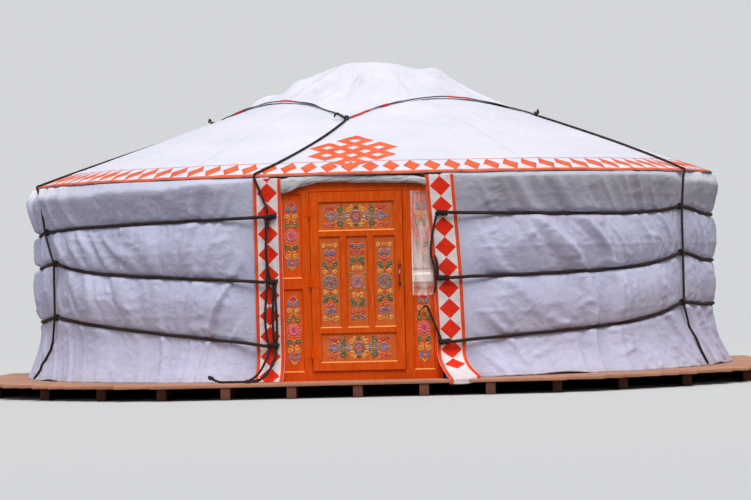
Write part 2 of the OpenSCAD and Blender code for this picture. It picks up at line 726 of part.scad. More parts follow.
// Girth ropes lie in the pinches of the canvas and run taut to the knots
girth_r = pinch_r + rope_r + fit;
girth_lead = 30;
girth_x = tie_x + knot_l / 2 + girth_lead;
girth_taut = atan(girth_x / tie_y) + acos(girth_r / norm([girth_x, tie_y]));

module girth_ropes() {
    steps = sections * stations;
    color("saddlebrown") for (k = [0 : 2]) {
        path = [for (i = [1 : steps - 1]) let (a = door_angle + i * section_angle / stations)
            polar(girth_r / cos(max(0, girth_taut - from_door(a))), a, girth_z(k, a))];
        right = [for (gap = [fit, girth_lead]) knot(1, k) + [knot_l / 2 + gap, 0, 0]];
        left = [for (gap = [girth_lead, fit]) knot(-1, k) - [knot_l / 2 + gap, 0, 0]];
        rope(concat(right, path, left), [0, 0, 1]);
    }
}

// Tie-down ropes run from the corners of the crown cover to the deck
function roof_point(r, angle) = polar(r + rope_r * sin(slope_angle), angle,
    canvas_top(r) + (rope_r + 2 * fit) * slope_cos);
function eave_point(angle) = polar(eave_r + drip_out + rope_r + 8, angle, canvas_top(eave_r) - 4);
function wall_point(z, angle) = let (s = canvas_swell(canvas_line(angle), z))
    polar(canvas_r(angle) + max(s + rope_r + 4 * cloth_fit, 3 * rope_r + cloth_fit), angle, z);
roof_steps = 8;
wall_steps = 14;
function roof_path(at_cover, at_eave) = concat(
    [for (i = [0 : roof_steps]) let (t = i / roof_steps)
        roof_point(mix(cover_reach + 6, eave_r, t), mix(at_cover, at_eave, t))],
    [eave_point(at_eave)]);

// One tie-down, by its angle at the cover, the eave, the middle and the deck
module tie_down(at_cover, at_eave, at_middle, at_deck) {
    path = concat(roof_path(at_cover, at_eave),
        [for (i = [1 : wall_steps])
            let (t = i / wall_steps, z = mix(canvas_head + deck_top, deck_top + rope_r, t))
            wall_point(z, t < 0.5 ? mix(at_eave, at_middle, 2 * t) : mix(at_middle, at_deck, 2 * t - 1))]);
    rope(path, [cos(at_eave), sin(at_eave), 0]);
}

// The front tie-down ends at the top knot on the left of the door
module front_tie_down(at_eave, steps = 3) {
    end = knot(-1, 2) + [-knot_l / 4, 0, knot_r + fit];
    from = wall_point(deck_top + canvas_head, at_eave);
    path = concat(roof_path(cover_turn, at_eave),
        [for (i = [0 : steps]) mix(from, end + [0, 0, 40], i / (steps + 1))],
        [end + [0, 0, 40], end]);
    rope(path, [cos(at_eave), sin(at_eave), 0]);
}

module tie_down_ropes() {
    color("saddlebrown") {
        tie_down(90 + cover_turn, 67, 66, 72);
        tie_down(cover_turn - 90, -70, -68, -75);
        tie_down(180 + cover_turn, 162, 162, 164);
        front_tie_down(-15.8);
    }
}

// A stretch of rope hung between two points: bow is its sideways sag at the
// middle, out its sag away from the door
module hung_rope(a, b, bow, out, r = rope_r) {
    steps = 6;
    rope([for (i = [0 : steps]) let (t = i / steps)
        mix(a, b, t) + [bow * sin(180 * t), -out * sin(180 * t), 0]], [1, 0, 0], r);
}

// Short stub below a knot, from which a loose tail hangs
tail_stub = 12;
module stub(at, r) {
    translate(at) cylinder(r = r, h = knot_r + tail_stub);
}

// Left of the door the ropes are doubled from knot to knot
module door_ties_left() {
    end = knot_l / 2 - rope_r - 1;
    color("saddlebrown") union() {
        for (k = [0 : 2]) knot_at(-1, k);
        hung_rope(knot(-1, 2) + [-end, 0, 0], knot(-1, 1) + [-10, 0, 0], -14, 4);
        hung_rope(knot(-1, 2) + [-10, 0, 0], knot(-1, 1) + [-end, 0, 0], -14, 26);
        hung_rope(knot(-1, 1) + [-end, 0, 0], knot(-1, 0) + [-end, 0, 0], -20, 4);
        hung_rope(knot(-1, 1) + [20, 0, 0], knot(-1, 0) + [20, 0, 0], -6, 6, short_tail_r);
        stub(long_tail[0], rope_r);
        stub(short_tail[0], short_tail_r);
    }
}

// Right of the door a rope runs down from the top knot past the middle one, a
// stub stands up beside that, and the lowest rope is bent over a nail
module door_ties_right() {
    top = knot(1, 2) + [-30, 0, 0];
    middle = knot(1, 1) + [-40, 0, 0];
    low = knot(1, 0) + [-20, 0, 0];
    nail = mix(low, middle, 0.57) + [-100, 0, 0];
    end = mix(middle, low, 0.23) + [-35, 0, 0];
    color("saddlebrown") union() {
        for (k = [0 : 2]) knot_at(1, k);
        rope([top, mix(top, middle, 0.12) + [-20, -6, 0], mix(top, middle, 0.35) + [-44, -8, 0],
            mix(top, middle, 0.62) + [-56, -8, 0], mix(top, middle, 0.88) + [-23, -8, 0],
            middle + [-20, -8, 0], mix(middle, end, 0.5) + [-6, -4, 0], end], [1, 0, 0]);
        rope([middle, mix(middle, top, 0.12) + [-2, -6, 0], mix(middle, top, 0.25) + [-8, -8, 0],
            mix(middle, top, 0.35) + [-27, -6, 0]], [1, 0, 0]);
        rope([low, mix(low, nail, 0.28) + [0, -4, 0], mix(low, nail, 0.66) + [0, -4, 0],
            nail + [6, -2, -20], nail + [-8, 0, -4], nail + [-24, 0, -8]], [0, 1, 0]);
        rope([nail + [-14, 0, -6], nail + [-42, 0, -20], nail + [-62, 0, -50], nail + [-68, 0, -80]],
            [0, 1, 0], 0.5 * rope_r);
    }
}

// Loose tails of the lowest rope on the left, down to the deck and along the hem
short_tail_r = 1.3 * rope_r;
tail_top = girth_z(0, door_angle) - knot_r - tail_stub;
tail_floor = deck_top + rope_r + 0.5;
long_tail = [
    [-tie_x - 35, -tie_y, tail_top], [-tie_x - 35, -tie_y, tail_top - 15],
    [-724, -2930, 350], [-735, -2950, 322], [-750, -2975, 290],
    [-765, -3000, 255], [-785, -3025, 220], [-810, -3045, 190], [-840, -3060, 165], [-875, -3070, 148],
    [-910, -3075, tail_floor], [-945, -3075, tail_floor], [-980, -3070, tail_floor],
    [-1015, -3062, tail_floor], [-1050, -3052, tail_floor], [-1085, -3040, tail_floor],
    [-1115, -3028, 142], [-1145, -3018, 152], [-1170, -3010, 166]];
short_floor = deck_top + short_tail_r + 0.5;
short_tail = [
    [-tie_x + 20, -tie_y, tail_top], [-tie_x + 20, -tie_y, tail_top - 15],
    [-668, -2935, 342], [-676, -2960, 307], [-690, -2990, 270],
    [-710, -3020, 230], [-735, -3050, 195], [-765, -3080, 166], [-800, -3105, 148],
    [-835, -3125, short_floor], [-865, -3140, short_floor]];

module rope_tail_long() {
    color("saddlebrown") rope(long_tail, [0.3, 0.2, 1], rope_r, tail_sides);
}

module rope_tail_short() {
    color("saddlebrown") rope(short_tail, [0.3, 0.2, 1], short_tail_r, tail_sides);
}

deck_joists();
deck_boards();
lattice(0);  // lattice_1
lattice(1);  // lattice_2
lattice(2);  // lattice_3
lattice(3);  // lattice_4
lattice(4);  // lattice_5
roof_poles();
crown_ring();
crown_hub();
crown_spokes();
post(-1);  // post_left
post(1);  // post_right
door_frame();
side_panels(-1);  // side_panels_left
side_panels(1);  // side_panels_right
door_head_rail();
door_leaf();
leaf_panels();
hinge_frame_halves();
hinge_leaf_halves();
pull_handle();
wall_felt(0);  // wall_felt_1
wall_felt(1);  // wall_felt_2
wall_felt(2);  // wall_felt_3
wall_felt(3);  // wall_felt_4
wall_felt(4);  // wall_felt_5
roof_felt(0);  // roof_felt_1
roof_felt(1);  // roof_felt_2
roof_felt(2);  // roof_felt_3
roof_felt(3);  // roof_felt_4
roof_felt(4);  // roof_felt_5
wall_canvas(0);  // wall_canvas_1
wall_canvas(1);  // wall_canvas_2
wall_canvas(2);  // wall_canvas_3
wall_canvas(3);  // wall_canvas_4
wall_canvas(4);  // wall_canvas_5
roof_canvas();
crown_cover();
door_strip(-1, strip_back + strip_curl_out, 0);  // door_strip_left
door_strip(1, deck_front + 2 * strip_t, strip_hang);  // door_strip_right
door_valance();
girth_ropes();
tie_down_ropes();
door_ties_left();
door_ties_right();
rope_tail_long();
rope_tail_short();
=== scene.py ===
# A felt yurt on a timber deck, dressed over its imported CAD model: camera and
# ropes first, then the deck, the timber, the cloths and the painted door.
import math

import bpy
import numpy
from mathutils import Matrix, Quaternion, Vector, noise


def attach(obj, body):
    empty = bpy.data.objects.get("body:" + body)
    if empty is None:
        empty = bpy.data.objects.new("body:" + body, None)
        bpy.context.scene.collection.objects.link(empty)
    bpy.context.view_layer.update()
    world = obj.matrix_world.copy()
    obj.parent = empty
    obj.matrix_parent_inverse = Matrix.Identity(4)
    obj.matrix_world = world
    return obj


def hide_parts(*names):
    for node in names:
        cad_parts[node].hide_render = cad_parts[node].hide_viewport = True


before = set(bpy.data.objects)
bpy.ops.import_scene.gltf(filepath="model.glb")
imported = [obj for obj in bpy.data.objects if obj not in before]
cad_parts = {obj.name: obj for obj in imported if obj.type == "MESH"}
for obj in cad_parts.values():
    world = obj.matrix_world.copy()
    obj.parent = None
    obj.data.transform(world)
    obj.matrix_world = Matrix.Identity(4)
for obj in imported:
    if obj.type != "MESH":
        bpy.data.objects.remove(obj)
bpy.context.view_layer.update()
bpy.ops.object.select_all(action="DESELECT")
scene = bpy.context.scene
scene.view_settings.view_transform = "Standard"


# Camera and studio
# The camera stands 31 m from the yurt's middle, a little to the door's right
# and 1 m above the ground, behind a long lens. It is held with a slight roll
# and aimed a few pixels off the level line to the yurt.
bearing = math.radians(3.095)
distance, eye_height = 31.431, 1.051
aim_left, aim_up, lens_in_pixels = 0.787, 14.04, 3590.5
camera_data = bpy.data.cameras.new("camera")
camera_data.sensor_width = 36
camera_data.lens = 171.25
camera_data.clip_end = 400
camera = bpy.data.objects.new("camera", camera_data)
scene.collection.objects.link(camera)
camera.location = (distance * math.sin(bearing), -distance * math.cos(bearing), eye_height)
ahead = Vector((-math.sin(bearing), math.cos(bearing), 0))
rightward = Vector((math.cos(bearing), math.sin(bearing), 0))
sight = ahead - rightward * aim_left / lens_in_pixels + Vector((0, 0, aim_up / lens_in_pixels))
roll = Quaternion((0, 0, 1), math.radians(-1.413))
camera.rotation_euler = (sight.to_track_quat("-Z", "Y") @ roll).to_euler()
scene.camera = camera

# Soft daylight: a main lamp high in front, a weaker and bluer one from the
# left, one overhead and an even dome
warm_light, blue_light = (1, 0.985, 0.95), (0.86, 0.92, 1)
for name, color, strength, spread, tilt, turn in (
        ("front_lamp", warm_light, 1.42, 22, 40, 15),
        ("left_lamp", blue_light, 0.32, 24, 60, -58),
        ("top_lamp", warm_light, 0.94, 30, 20, 5)):
    lamp = bpy.data.lights.new(name, "SUN")
    lamp.energy = strength
    lamp.angle = math.radians(spread)
    lamp.color = color
    lamp_object = bpy.data.objects.new(name, lamp)
    scene.collection.objects.link(lamp_object)
    lamp_object.rotation_euler = (math.radians(tilt), 0, math.radians(turn))


class Nodes:
    """A world's, material's or group's node tree, with short ways to add and join nodes."""

    def __init__(self, tree):
        self.tree = tree

    def add(self, kind, **values):
        node = self.tree.nodes.new(kind)
        for key, value in values.items():
            setattr(node, key, value)
        return node

    def put(self, socket, value):
        if isinstance(value, bpy.types.NodeSocket):
            self.tree.links.new(value, socket)
        elif value is not None:
            if socket.type == "RGBA" and len(value) == 3:
                value = (*value, 1)
            socket.default_value = value

    def math(self, kind, a, b=None, c=None, clamp=False):
        node = self.add("ShaderNodeMath", operation=kind, use_clamp=clamp)
        for socket, value in zip(node.inputs, (a, b, c)):
            self.put(socket, value)
        return node.outputs[0]

    def times(self, a, b):
        return self.math("MULTIPLY", a, b)

    def plus(self, a, b):
        return self.math("ADD", a, b)

    def minus(self, a, b):
        return self.math("SUBTRACT", a, b)

    def over(self, a, b):
        return self.math("DIVIDE", a, b)

    def apart(self, a, b):
        """The distance between two values."""
        return self.math("ABSOLUTE", self.minus(a, b))

    def noise(self, vector, scale, detail=4, rough=0.55, stretch=None, out="Fac"):
        if stretch:
            spread = self.add("ShaderNodeMapping")
            self.put(spread.inputs["Vector"], vector)
            spread.inputs["Scale"].default_value = stretch
            vector = spread.outputs[0]
        node = self.add("ShaderNodeTexNoise")
        self.put(node.inputs["Vector"], vector)
        node.inputs["Scale"].default_value = scale
        node.inputs["Detail"].default_value = detail
        node.inputs["Roughness"].default_value = rough
        return node.outputs[out]

    def span(self, value, low, high, to_low=0.0, to_high=1.0):
        node = self.add("ShaderNodeMapRange")
        self.put(node.inputs["Value"], value)
        for key, number in zip(("From Min", "From Max", "To Min", "To Max"), (low, high, to_low, to_high)):
            self.put(node.inputs[key], number)
        return node.outputs[0]

    def mix(self, share, a, b, kind="MIX"):
        node = self.add("ShaderNodeMix", data_type="RGBA", blend_type=kind)
        self.put(node.inputs["Factor"], share)
        self.put(node.inputs[6], a)
        self.put(node.inputs[7], b)
        return node.outputs[2]

    def mottled(self, value, a, b):
        """Two colours that change over in the soft patches of a noise."""
        return self.mix(self.span(value, 0.35, 0.7), a, b)

    def xyz(self, vector):
        node = self.add("ShaderNodeSeparateXYZ")
        self.put(node.inputs[0], vector)
        return node.outputs

    def joined(self, x, y, z=0.0):
        node = self.add("ShaderNodeCombineXYZ")
        for socket, value in zip(node.inputs, (x, y, z)):
            self.put(socket, value)
        return node.outputs[0]


def seen_directly(nodes):
    """1 for camera, transmission and glossy rays, 0 for those that only bring light."""
    rays = nodes.add("ShaderNodeLightPath").outputs
    direct = nodes.math("MAXIMUM", rays["Is Camera Ray"], rays["Is Transmission Ray"])
    return nodes.math("MAXIMUM", direct, rays["Is Glossy Ray"])


def plain_shader(nodes, kind, color, strength=None):
    shader = nodes.add(kind)
    nodes.put(shader.inputs["Color"], color)
    if strength is not None:
        nodes.put(shader.inputs["Strength"], strength)
    return shader.outputs[0]


def blend(nodes, share, first, second):
    mixed = nodes.add("ShaderNodeMixShader")
    for socket, value in zip(mixed.inputs, (share, first, second)):
        nodes.put(socket, value)
    return mixed.outputs[0]


backdrop_grey = (0.66, 0.675, 0.70)
world = bpy.data.worlds.new("studio")
scene.world = world
world.use_nodes = True
world.node_tree.nodes.clear()
nodes = Nodes(world.node_tree)
dome = plain_shader(nodes, "ShaderNodeBackground", (0.94, 0.96, 1), 0.50)
backdrop = plain_shader(nodes, "ShaderNodeBackground", backdrop_grey)
output = nodes.add("ShaderNodeOutputWorld")
nodes.put(output.inputs[0], blend(nodes, seen_directly(nodes), dome, backdrop))

# Pale floor, which fades into the backdrop's grey far from the yurt, and is
# darker where it only throws light on the object
bpy.ops.mesh.primitive_circle_add(vertices=96, radius=120, fill_type="NGON")
floor = bpy.context.object
floor.name = "floor"
paint = bpy.data.materials.new("pale_floor")
paint.use_nodes = True
paint.node_tree.nodes.clear()
nodes = Nodes(paint.node_tree)
reach = nodes.add("ShaderNodeVectorMath", operation="LENGTH")
nodes.put(reach.inputs[0], nodes.add("ShaderNodeTexCoord").outputs["Object"])
fade = nodes.add("ShaderNodeMapRange", interpolation_type="SMOOTHSTEP")
for key, value in (("Value", reach.outputs["Value"]), ("From Min", 5), ("From Max", 16)):
    nodes.put(fade.inputs[key], value)
near = plain_shader(nodes, "ShaderNodeBsdfDiffuse", (0.60, 0.605, 0.61))
far = plain_shader(nodes, "ShaderNodeEmission", backdrop_grey)
dim = plain_shader(nodes, "ShaderNodeBsdfDiffuse", (0.15, 0.15, 0.145))
ground = blend(nodes, fade.outputs[0], near, far)
output = nodes.add("ShaderNodeOutputMaterial")
nodes.put(output.inputs[0], blend(nodes, seen_directly(nodes), dim, ground))
floor.data.materials.append(paint)
bpy.ops.object.select_all(action="DESELECT")


# Loose rope tails
# The ropes are laid from three strands of dark hair, 22 mm across. Two tails
# hang from the lowest knot left of the door, a long single one and a shorter
# doubled one, and each ends in a knot of its own on the deck.
def rgb(red, green, blue):
    """A colour as written on a screen, 0 to 255, in the shader's linear values."""
    return tuple((c / 255 / 12.92) if c <= 10 else ((c / 255 + 0.055) / 1.055) ** 2.4
                 for c in (red, green, blue))


def finish_material(name, color, roughness, height=None, depth=0.002, **plain):
    """Completes a material with one Principled shader and a bump."""
    nodes = materials_begun[name]
    shader = nodes.add("ShaderNodeBsdfPrincipled")
    nodes.put(shader.inputs["Base Color"], color)
    nodes.put(shader.inputs["Roughness"], roughness)
    for key, value in plain.items():
        shader.inputs[key.replace("_", " ").title().replace("Ior", "IOR")].default_value = value
    if height is not None:
        bump = nodes.add("ShaderNodeBump")
        bump.inputs["Strength"].default_value = 1
        bump.inputs["Distance"].default_value = depth
        nodes.put(bump.inputs["Height"], height)
        nodes.put(shader.inputs["Normal"], bump.outputs[0])
    target = nodes.add("ShaderNodeOutputMaterial")
    nodes.put(target.inputs[0], shader.outputs[0])
    return bpy.data.materials[name]


materials_begun = {}


def begin_material(name, place="Object"):
    """Starts a material and gives its nodes and the coordinates it reads."""
    material = bpy.data.materials.new(name)
    material.use_nodes = True
    material.node_tree.nodes.clear()
    nodes = materials_begun[name] = Nodes(material.node_tree)
    return nodes, nodes.add("ShaderNodeTexCoord").outputs[place]


def smooth_path(points, step):
    """Points an even step apart along a smooth curve through the given ones."""
    knots = [Vector(p) for p in points]
    knots = [knots[0] * 2 - knots[1], *knots, knots[-1] * 2 - knots[-2]]
    dense = []
    for a, b, c, d in zip(knots, knots[1:], knots[2:], knots[3:]):
        for i in range(12):
            t = i / 12
            dense.append(0.5 * (2 * b + (c - a) * t + (2 * a - 5 * b + 4 * c - d) * t * t
                                + (3 * b - a - 3 * c + d) * t ** 3))
    dense.append(knots[-2])
    along = numpy.cumsum([0] + [(q - p).length for p, q in zip(dense, dense[1:])])
    even = numpy.linspace(0, along[-1], max(3, round(along[-1] / step) + 1))
    places = numpy.array([list(p) for p in dense])
    return [Vector(p) for p in zip(*(numpy.interp(even, along, places[:, k]) for k in range(3)))]


def rope_mesh(name, routes, radius, step=0.012, sides=12, strands=3, lay=0.085, groove=0.13):
    """One mesh of twisted ropes, with u along each rope in metres and v around it."""
    places, faces, around = [], [], []
    for route in routes:
        line = smooth_path(route, step)
        base, travelled, across = len(places), 0.0, None
        for i, point in enumerate(line):
            heading = (line[min(i + 1, len(line) - 1)] - line[max(i - 1, 0)]).normalized()
            if across is None:
                across = heading.orthogonal().normalized()
            across = (across - heading * across.dot(heading)).normalized()
            beside = heading.cross(across)
            if i:
                travelled += (point - line[i - 1]).length
            end = min(i, len(line) - 1 - i)
            shut = (0.55, 0.88)[end] if end < 2 else 1
            for k in range(sides):
                angle = 2 * math.pi * k / sides
                lobe = math.cos(strands * (angle - 2 * math.pi * travelled / lay))
                r = radius * shut * (1 - groove + groove * lobe)
                places.append(point + across * r * math.cos(angle) + beside * r * math.sin(angle))
                around.append((travelled, k / sides))
        count = len(line)
        for i in range(count - 1):
            for k in range(sides):
                a, b = base + i * sides + k, base + i * sides + (k + 1) % sides
                faces.append((a, b, b + sides, a + sides))
        faces.append(tuple(base + k for k in reversed(range(sides))))
        faces.append(tuple(base + (count - 1) * sides + k for k in range(sides)))
    mesh = bpy.data.meshes.new(name)
    mesh.from_pydata(places, [], faces)
    layer = mesh.uv_layers.new(name="along")
    for loop in mesh.loops:
        layer.data[loop.index].uv = around[loop.vertex_index]
    mesh.shade_smooth()
    piece = bpy.data.objects.new(name, mesh)
    scene.collection.objects.link(piece)
    return piece


# Dark hair rope: near black, with browner hairs that run along the strands
nodes, around = begin_material("hair_rope", "UV")
hairs = nodes.noise(around, 1, 3, 0.7, (260, 34, 1))
patches = nodes.noise(around, 1, 2, 0.5, (7, 2, 1))
color = nodes.mix(nodes.span(hairs, 0.4, 0.75), rgb(38, 27, 26), rgb(92, 70, 62))
color = nodes.mix(nodes.times(patches, 0.5), color, rgb(24, 17, 18))
hair_rope = finish_material("hair_rope", color, 0.88, hairs, 0.0012, specular_ior_level=0.25)

rope_radius = 0.011
tail_routes = {
    "rope_tail_long": (rope_radius, [
        (-.720, -2.9146, .3807), (-.720, -2.9146, .3657), (-.724, -2.930, .350), (-.735, -2.950, .322),
        (-.750, -2.975, .290), (-.765, -3.000, .255), (-.785, -3.025, .220), (-.810, -3.045, .190),
        (-.840, -3.060, .165), (-.875, -3.070, .148), (-.910, -3.075, .1395), (-.945, -3.075, .1395),
        (-.980, -3.070, .1395), (-1.015, -3.062, .1395), (-1.050, -3.052, .1395),
        (-1.085, -3.040, .1395), (-1.115, -3.028, .142), (-1.145, -3.018, .152), (-1.170, -3.010, .166)]),
    "rope_tail_short": (1.3 * rope_radius, [
        (-.665, -2.9146, .3807), (-.665, -2.9146, .3657), (-.668, -2.935, .342), (-.676, -2.960, .307),
        (-.690, -2.990, .270), (-.710, -3.020, .230), (-.735, -3.050, .195), (-.765, -3.080, .166),
        (-.800, -3.105, .148), (-.835, -3.125, .1428), (-.865, -3.140, .1428)])}
knot_size = 0.0085
for name, (radius, route) in tail_routes.items():
    doubled = {} if radius == rope_radius else {"sides": 20, "strands": 2, "lay": 0.24, "groove": 0.24}
    line = smooth_path(route, 0.012)
    tail = rope_mesh(name + "_laid", [route], radius, **doubled)
    end, heading = line[-1], (line[-1] - line[-4]).normalized()
    turn = heading.to_track_quat("X", "Z")
    bow = []
    for i in range(25):
        t = 2 * math.pi * i / 24
        trefoil = Vector((math.cos(t) - 2 * math.cos(2 * t), math.sin(t) + 2 * math.sin(2 * t),
                          -0.9 * math.sin(3 * t)))
        bow.append(end + heading * 0.012 + turn @ (trefoil * knot_size))
    knot = rope_mesh(name + "_knot", [bow], knot_size, step=0.006)
    for piece in (tail, knot):
        piece.data.materials.append(hair_rope)
        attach(piece, "root")
    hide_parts(name)


# Deck
# Softwood boards 28 mm thick lie across joists on edge. Both are sawn and oiled
# a warm brown, the boards darker in patches where rain and soil reach. The
# joists are painted darker than the boards, painted shade under the deck, and
# darker still toward the floor; they end behind the boards. Each board is
# planed with eased edges and screwed at every joist.
def group(name, takes, gives):
    """An empty shader node group with named inputs and outputs."""
    made = bpy.data.node_groups.new(name, "ShaderNodeTree")
    for label, kind, value in takes:
        made.interface.new_socket(label, in_out="INPUT", socket_type=kind).default_value = value
    for label, kind in gives:
        made.interface.new_socket(label, in_out="OUTPUT", socket_type=kind)
    nodes = Nodes(made)
    return nodes, nodes.add("NodeGroupInput").outputs, nodes.add("NodeGroupOutput").inputs


nodes, takes, gives = group("timber_grain", [
    ("Along", "NodeSocketFloat", 0), ("Across", "NodeSocketFloat", 0), ("Through", "NodeSocketFloat", 0),
    ("Piece", "NodeSocketFloat", 0), ("Pitch", "NodeSocketFloat", 90)],
    [("Grain", "NodeSocketFloat"), ("Streak", "NodeSocketFloat"), ("Tone", "NodeSocketFloat")])
shift = nodes.times(takes["Piece"], 7.31)
place = nodes.joined(nodes.math("MULTIPLY_ADD", takes["Along"], 0.045, shift),
                     nodes.plus(takes["Across"], shift), takes["Through"])
sway = nodes.noise(place, 6, 2, 0.5)
rings = nodes.add("ShaderNodeTexNoise")
nodes.put(rings.inputs["Vector"], place)
nodes.put(rings.inputs["Scale"], takes["Pitch"])
rings.inputs["Detail"].default_value = 3
rings.inputs["Distortion"].default_value = 0.3
wave = nodes.math("SINE", nodes.math("MULTIPLY_ADD", rings.outputs["Fac"], 9, nodes.times(sway, 6)))
nodes.put(gives["Grain"], nodes.span(wave, -1, 1))
nodes.put(gives["Streak"], nodes.span(nodes.noise(place, 260, 2, 0.6), 0.35, 0.75))
random = nodes.add("ShaderNodeTexWhiteNoise", noise_dimensions="1D")
nodes.put(random.inputs["W"], takes["Piece"])
nodes.put(gives["Tone"], random.outputs["Value"])


def place_group(nodes, name, **values):
    node = nodes.add("ShaderNodeGroup", node_tree=bpy.data.node_groups[name])
    for key, value in values.items():
        nodes.put(node.inputs[key.replace("_", " ")], value)
    return node.outputs


deck_reach, deck_r, joist_pitch = 3.25, 3.6, 0.525
# A hair below the boards' pitch, so that a board's near edge is in its own row
row_step = 0.125096
nodes, place = begin_material("oiled_deck_board")
x, y, z = nodes.xyz(place)
row = nodes.math("FLOOR", nodes.over(nodes.plus(y, deck_reach), row_step))
grain = place_group(nodes, "timber_grain", Along=x, Across=y, Through=z, Piece=row, Pitch=70)
color = nodes.mix(grain["Grain"], rgb(184, 120, 88), rgb(212, 156, 122))
color = nodes.mix(nodes.times(grain["Streak"], 0.45), color, rgb(134, 82, 60))
color = nodes.mix(nodes.times(grain["Tone"], 0.4), color, rgb(162, 100, 76))
damp = nodes.span(nodes.noise(place, 1.3, 5, 0.6), 0.42, 0.7)
color = nodes.mix(nodes.times(damp, 0.35), color, rgb(110, 72, 50))
# Screws, two at each joist
half_pitch = joist_pitch / 2
from_joist = nodes.math("MODULO", nodes.plus(x, 50 * joist_pitch + 0.0125), joist_pitch)
beside = nodes.apart(from_joist, half_pitch)
beside = nodes.minus(half_pitch, beside)
within = nodes.minus(nodes.math("MODULO", nodes.plus(y, deck_reach), row_step), 0.06)
within = nodes.minus(nodes.math("ABSOLUTE", within), 0.033)
apart = nodes.math("SQRT", nodes.plus(nodes.math("POWER", beside, 2), nodes.math("POWER", within, 2)))
screw = nodes.times(nodes.span(apart, 0.0048, 0.004), nodes.math("GREATER_THAN", z, 0.127))
color = nodes.mix(screw, color, rgb(74, 68, 64))
height = nodes.minus(nodes.times(grain["Streak"], -0.5), nodes.times(screw, 2))
deck_board = finish_material("oiled_deck_board", color, nodes.span(grain["Streak"], 0, 1, 0.55, 0.75),
                             height, 0.0012)

nodes, place = begin_material("oiled_joist")
x, y, z = nodes.xyz(place)
beam = nodes.math("ROUND", nodes.over(x, joist_pitch))
grain = place_group(nodes, "timber_grain", Along=y, Across=x, Through=z, Piece=beam, Pitch=60)
# The joists' wood is painted darker than the boards': painted shade under the deck
color = nodes.mix(grain["Grain"], rgb(92, 50, 36), rgb(126, 74, 54))
color = nodes.mix(nodes.times(grain["Tone"], 0.5), color, rgb(96, 48, 32))
# Darker toward the floor
color = nodes.mix(nodes.span(z, 0.05, 0, 0, 0.7), color, rgb(48, 38, 33))
joist_wood = finish_material("oiled_joist", color, 0.78, grain["Streak"], 0.0015)


def select_only(piece):
    bpy.ops.object.select_all(action="DESELECT")
    piece.select_set(True)
    bpy.context.view_layer.objects.active = piece


def edit_whole(piece, operator, **values):
    """Runs an edit-mode operator on the whole mesh of a piece."""
    select_only(piece)
    bpy.ops.object.mode_set(mode="EDIT")
    bpy.ops.mesh.select_all(action="SELECT")
    operator(**values)
    bpy.ops.object.mode_set(mode="OBJECT")


def join_pieces(name, parts):
    """Joins like pieces into one mesh."""
    select_only(parts[0])
    for part in parts:
        part.select_set(True)
    if len(parts) > 1:
        bpy.ops.object.join()
    joined = bpy.context.object
    joined.name = name
    joined.select_set(False)
    return joined


# Boards, whose ends step in along the deck's round outline
deck_rows, end_step, board_gap, board_depth, board_middle = 52, 0.15, 0.005, 0.028, 0.114
row_pitch = (2 * deck_reach + board_gap) / deck_rows
board_width = row_pitch - board_gap
boards = []
for row in range(deck_rows):
    low = -deck_reach + row * row_pitch
    middle = low + row_pitch / 2
    half = end_step * math.floor(math.sqrt(max(0, deck_r ** 2 - middle ** 2)) / end_step + 0.5)
    bpy.ops.mesh.primitive_cube_add(size=1, location=(0, 0, 0))
    board = bpy.context.object
    board.name = f"deck_plank_{row:02d}"
    board.data.transform(Matrix.LocRotScale(Vector((0, low + board_width / 2, board_middle)), None,
                                            Vector((2 * half, board_width, board_depth))))
    board.data.materials.append(deck_board)
    boards.append(board)
planks = join_pieces("deck_planks", boards)
edit_whole(planks, bpy.ops.mesh.bevel, offset=0.003, segments=2)
planks.data.shade_smooth()
bpy.ops.mesh.customdata_custom_splitnormals_clear()
bpy.ops.object.shade_smooth_by_angle(angle=math.radians(50))
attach(planks, "root")
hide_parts("deck_boards")
bpy.ops.object.select_all(action="DESELECT")


def dress(node, material):
    """Gives a CAD node's object a material of this script."""
    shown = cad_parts[node]
    shown.data.materials.clear()
    shown.data.materials.append(material)


dress("deck_joists", joist_wood)


# Timber of the room: lattice, poles, crown and posts
# Lattice laths and roof poles are willow and larch painted a flat orange; the
# crown, its spokes and its two posts are a redder orange. The brush left paler
# streaks and the coat is darker in soft patches. Wool felt hangs behind it all.
nodes, takes, gives = group("brushed_paint", [
    ("Place", "NodeSocketVector", (0, 0, 0)), ("Colour", "NodeSocketColor", (1, 1, 1, 1)),
    ("Streaks", "NodeSocketVector", (1, 1, 1))],
    [("Colour", "NodeSocketColor"), ("Roughness", "NodeSocketFloat"), ("Height", "NodeSocketFloat")])
spread = nodes.add("ShaderNodeVectorMath", operation="MULTIPLY")
nodes.put(spread.inputs[0], takes["Place"])
nodes.put(spread.inputs[1], takes["Streaks"])
brush = nodes.noise(spread.outputs[0], 1, 4, 0.6)
cloud = nodes.noise(takes["Place"], 2.6, 4, 0.6)
color = nodes.mix(nodes.span(cloud, 0.3, 0.7, 0, 0.24), takes["Colour"], (0.20, 0.05, 0.012), "MULTIPLY")
pale = nodes.mix(0.22, takes["Colour"], (1.0, 0.62, 0.28))
color = nodes.mix(nodes.span(brush, 0.45, 0.75, 0, 0.45), color, pale)
nodes.put(gives["Colour"], color)
nodes.put(gives["Roughness"], nodes.span(brush, 0.3, 0.7, 0.34, 0.55))
nodes.put(gives["Height"], brush)


def painted(name, tint, streaks):
    """A brushed coat for the timber of the room."""
    nodes, place = begin_material(name)
    paint = place_group(nodes, "brushed_paint", Place=place, Colour=(*tint, 1), Streaks=streaks)
    return finish_material(name, paint["Colour"], paint["Roughness"], paint["Height"], 0.0005,
                           coat_weight=0.12)


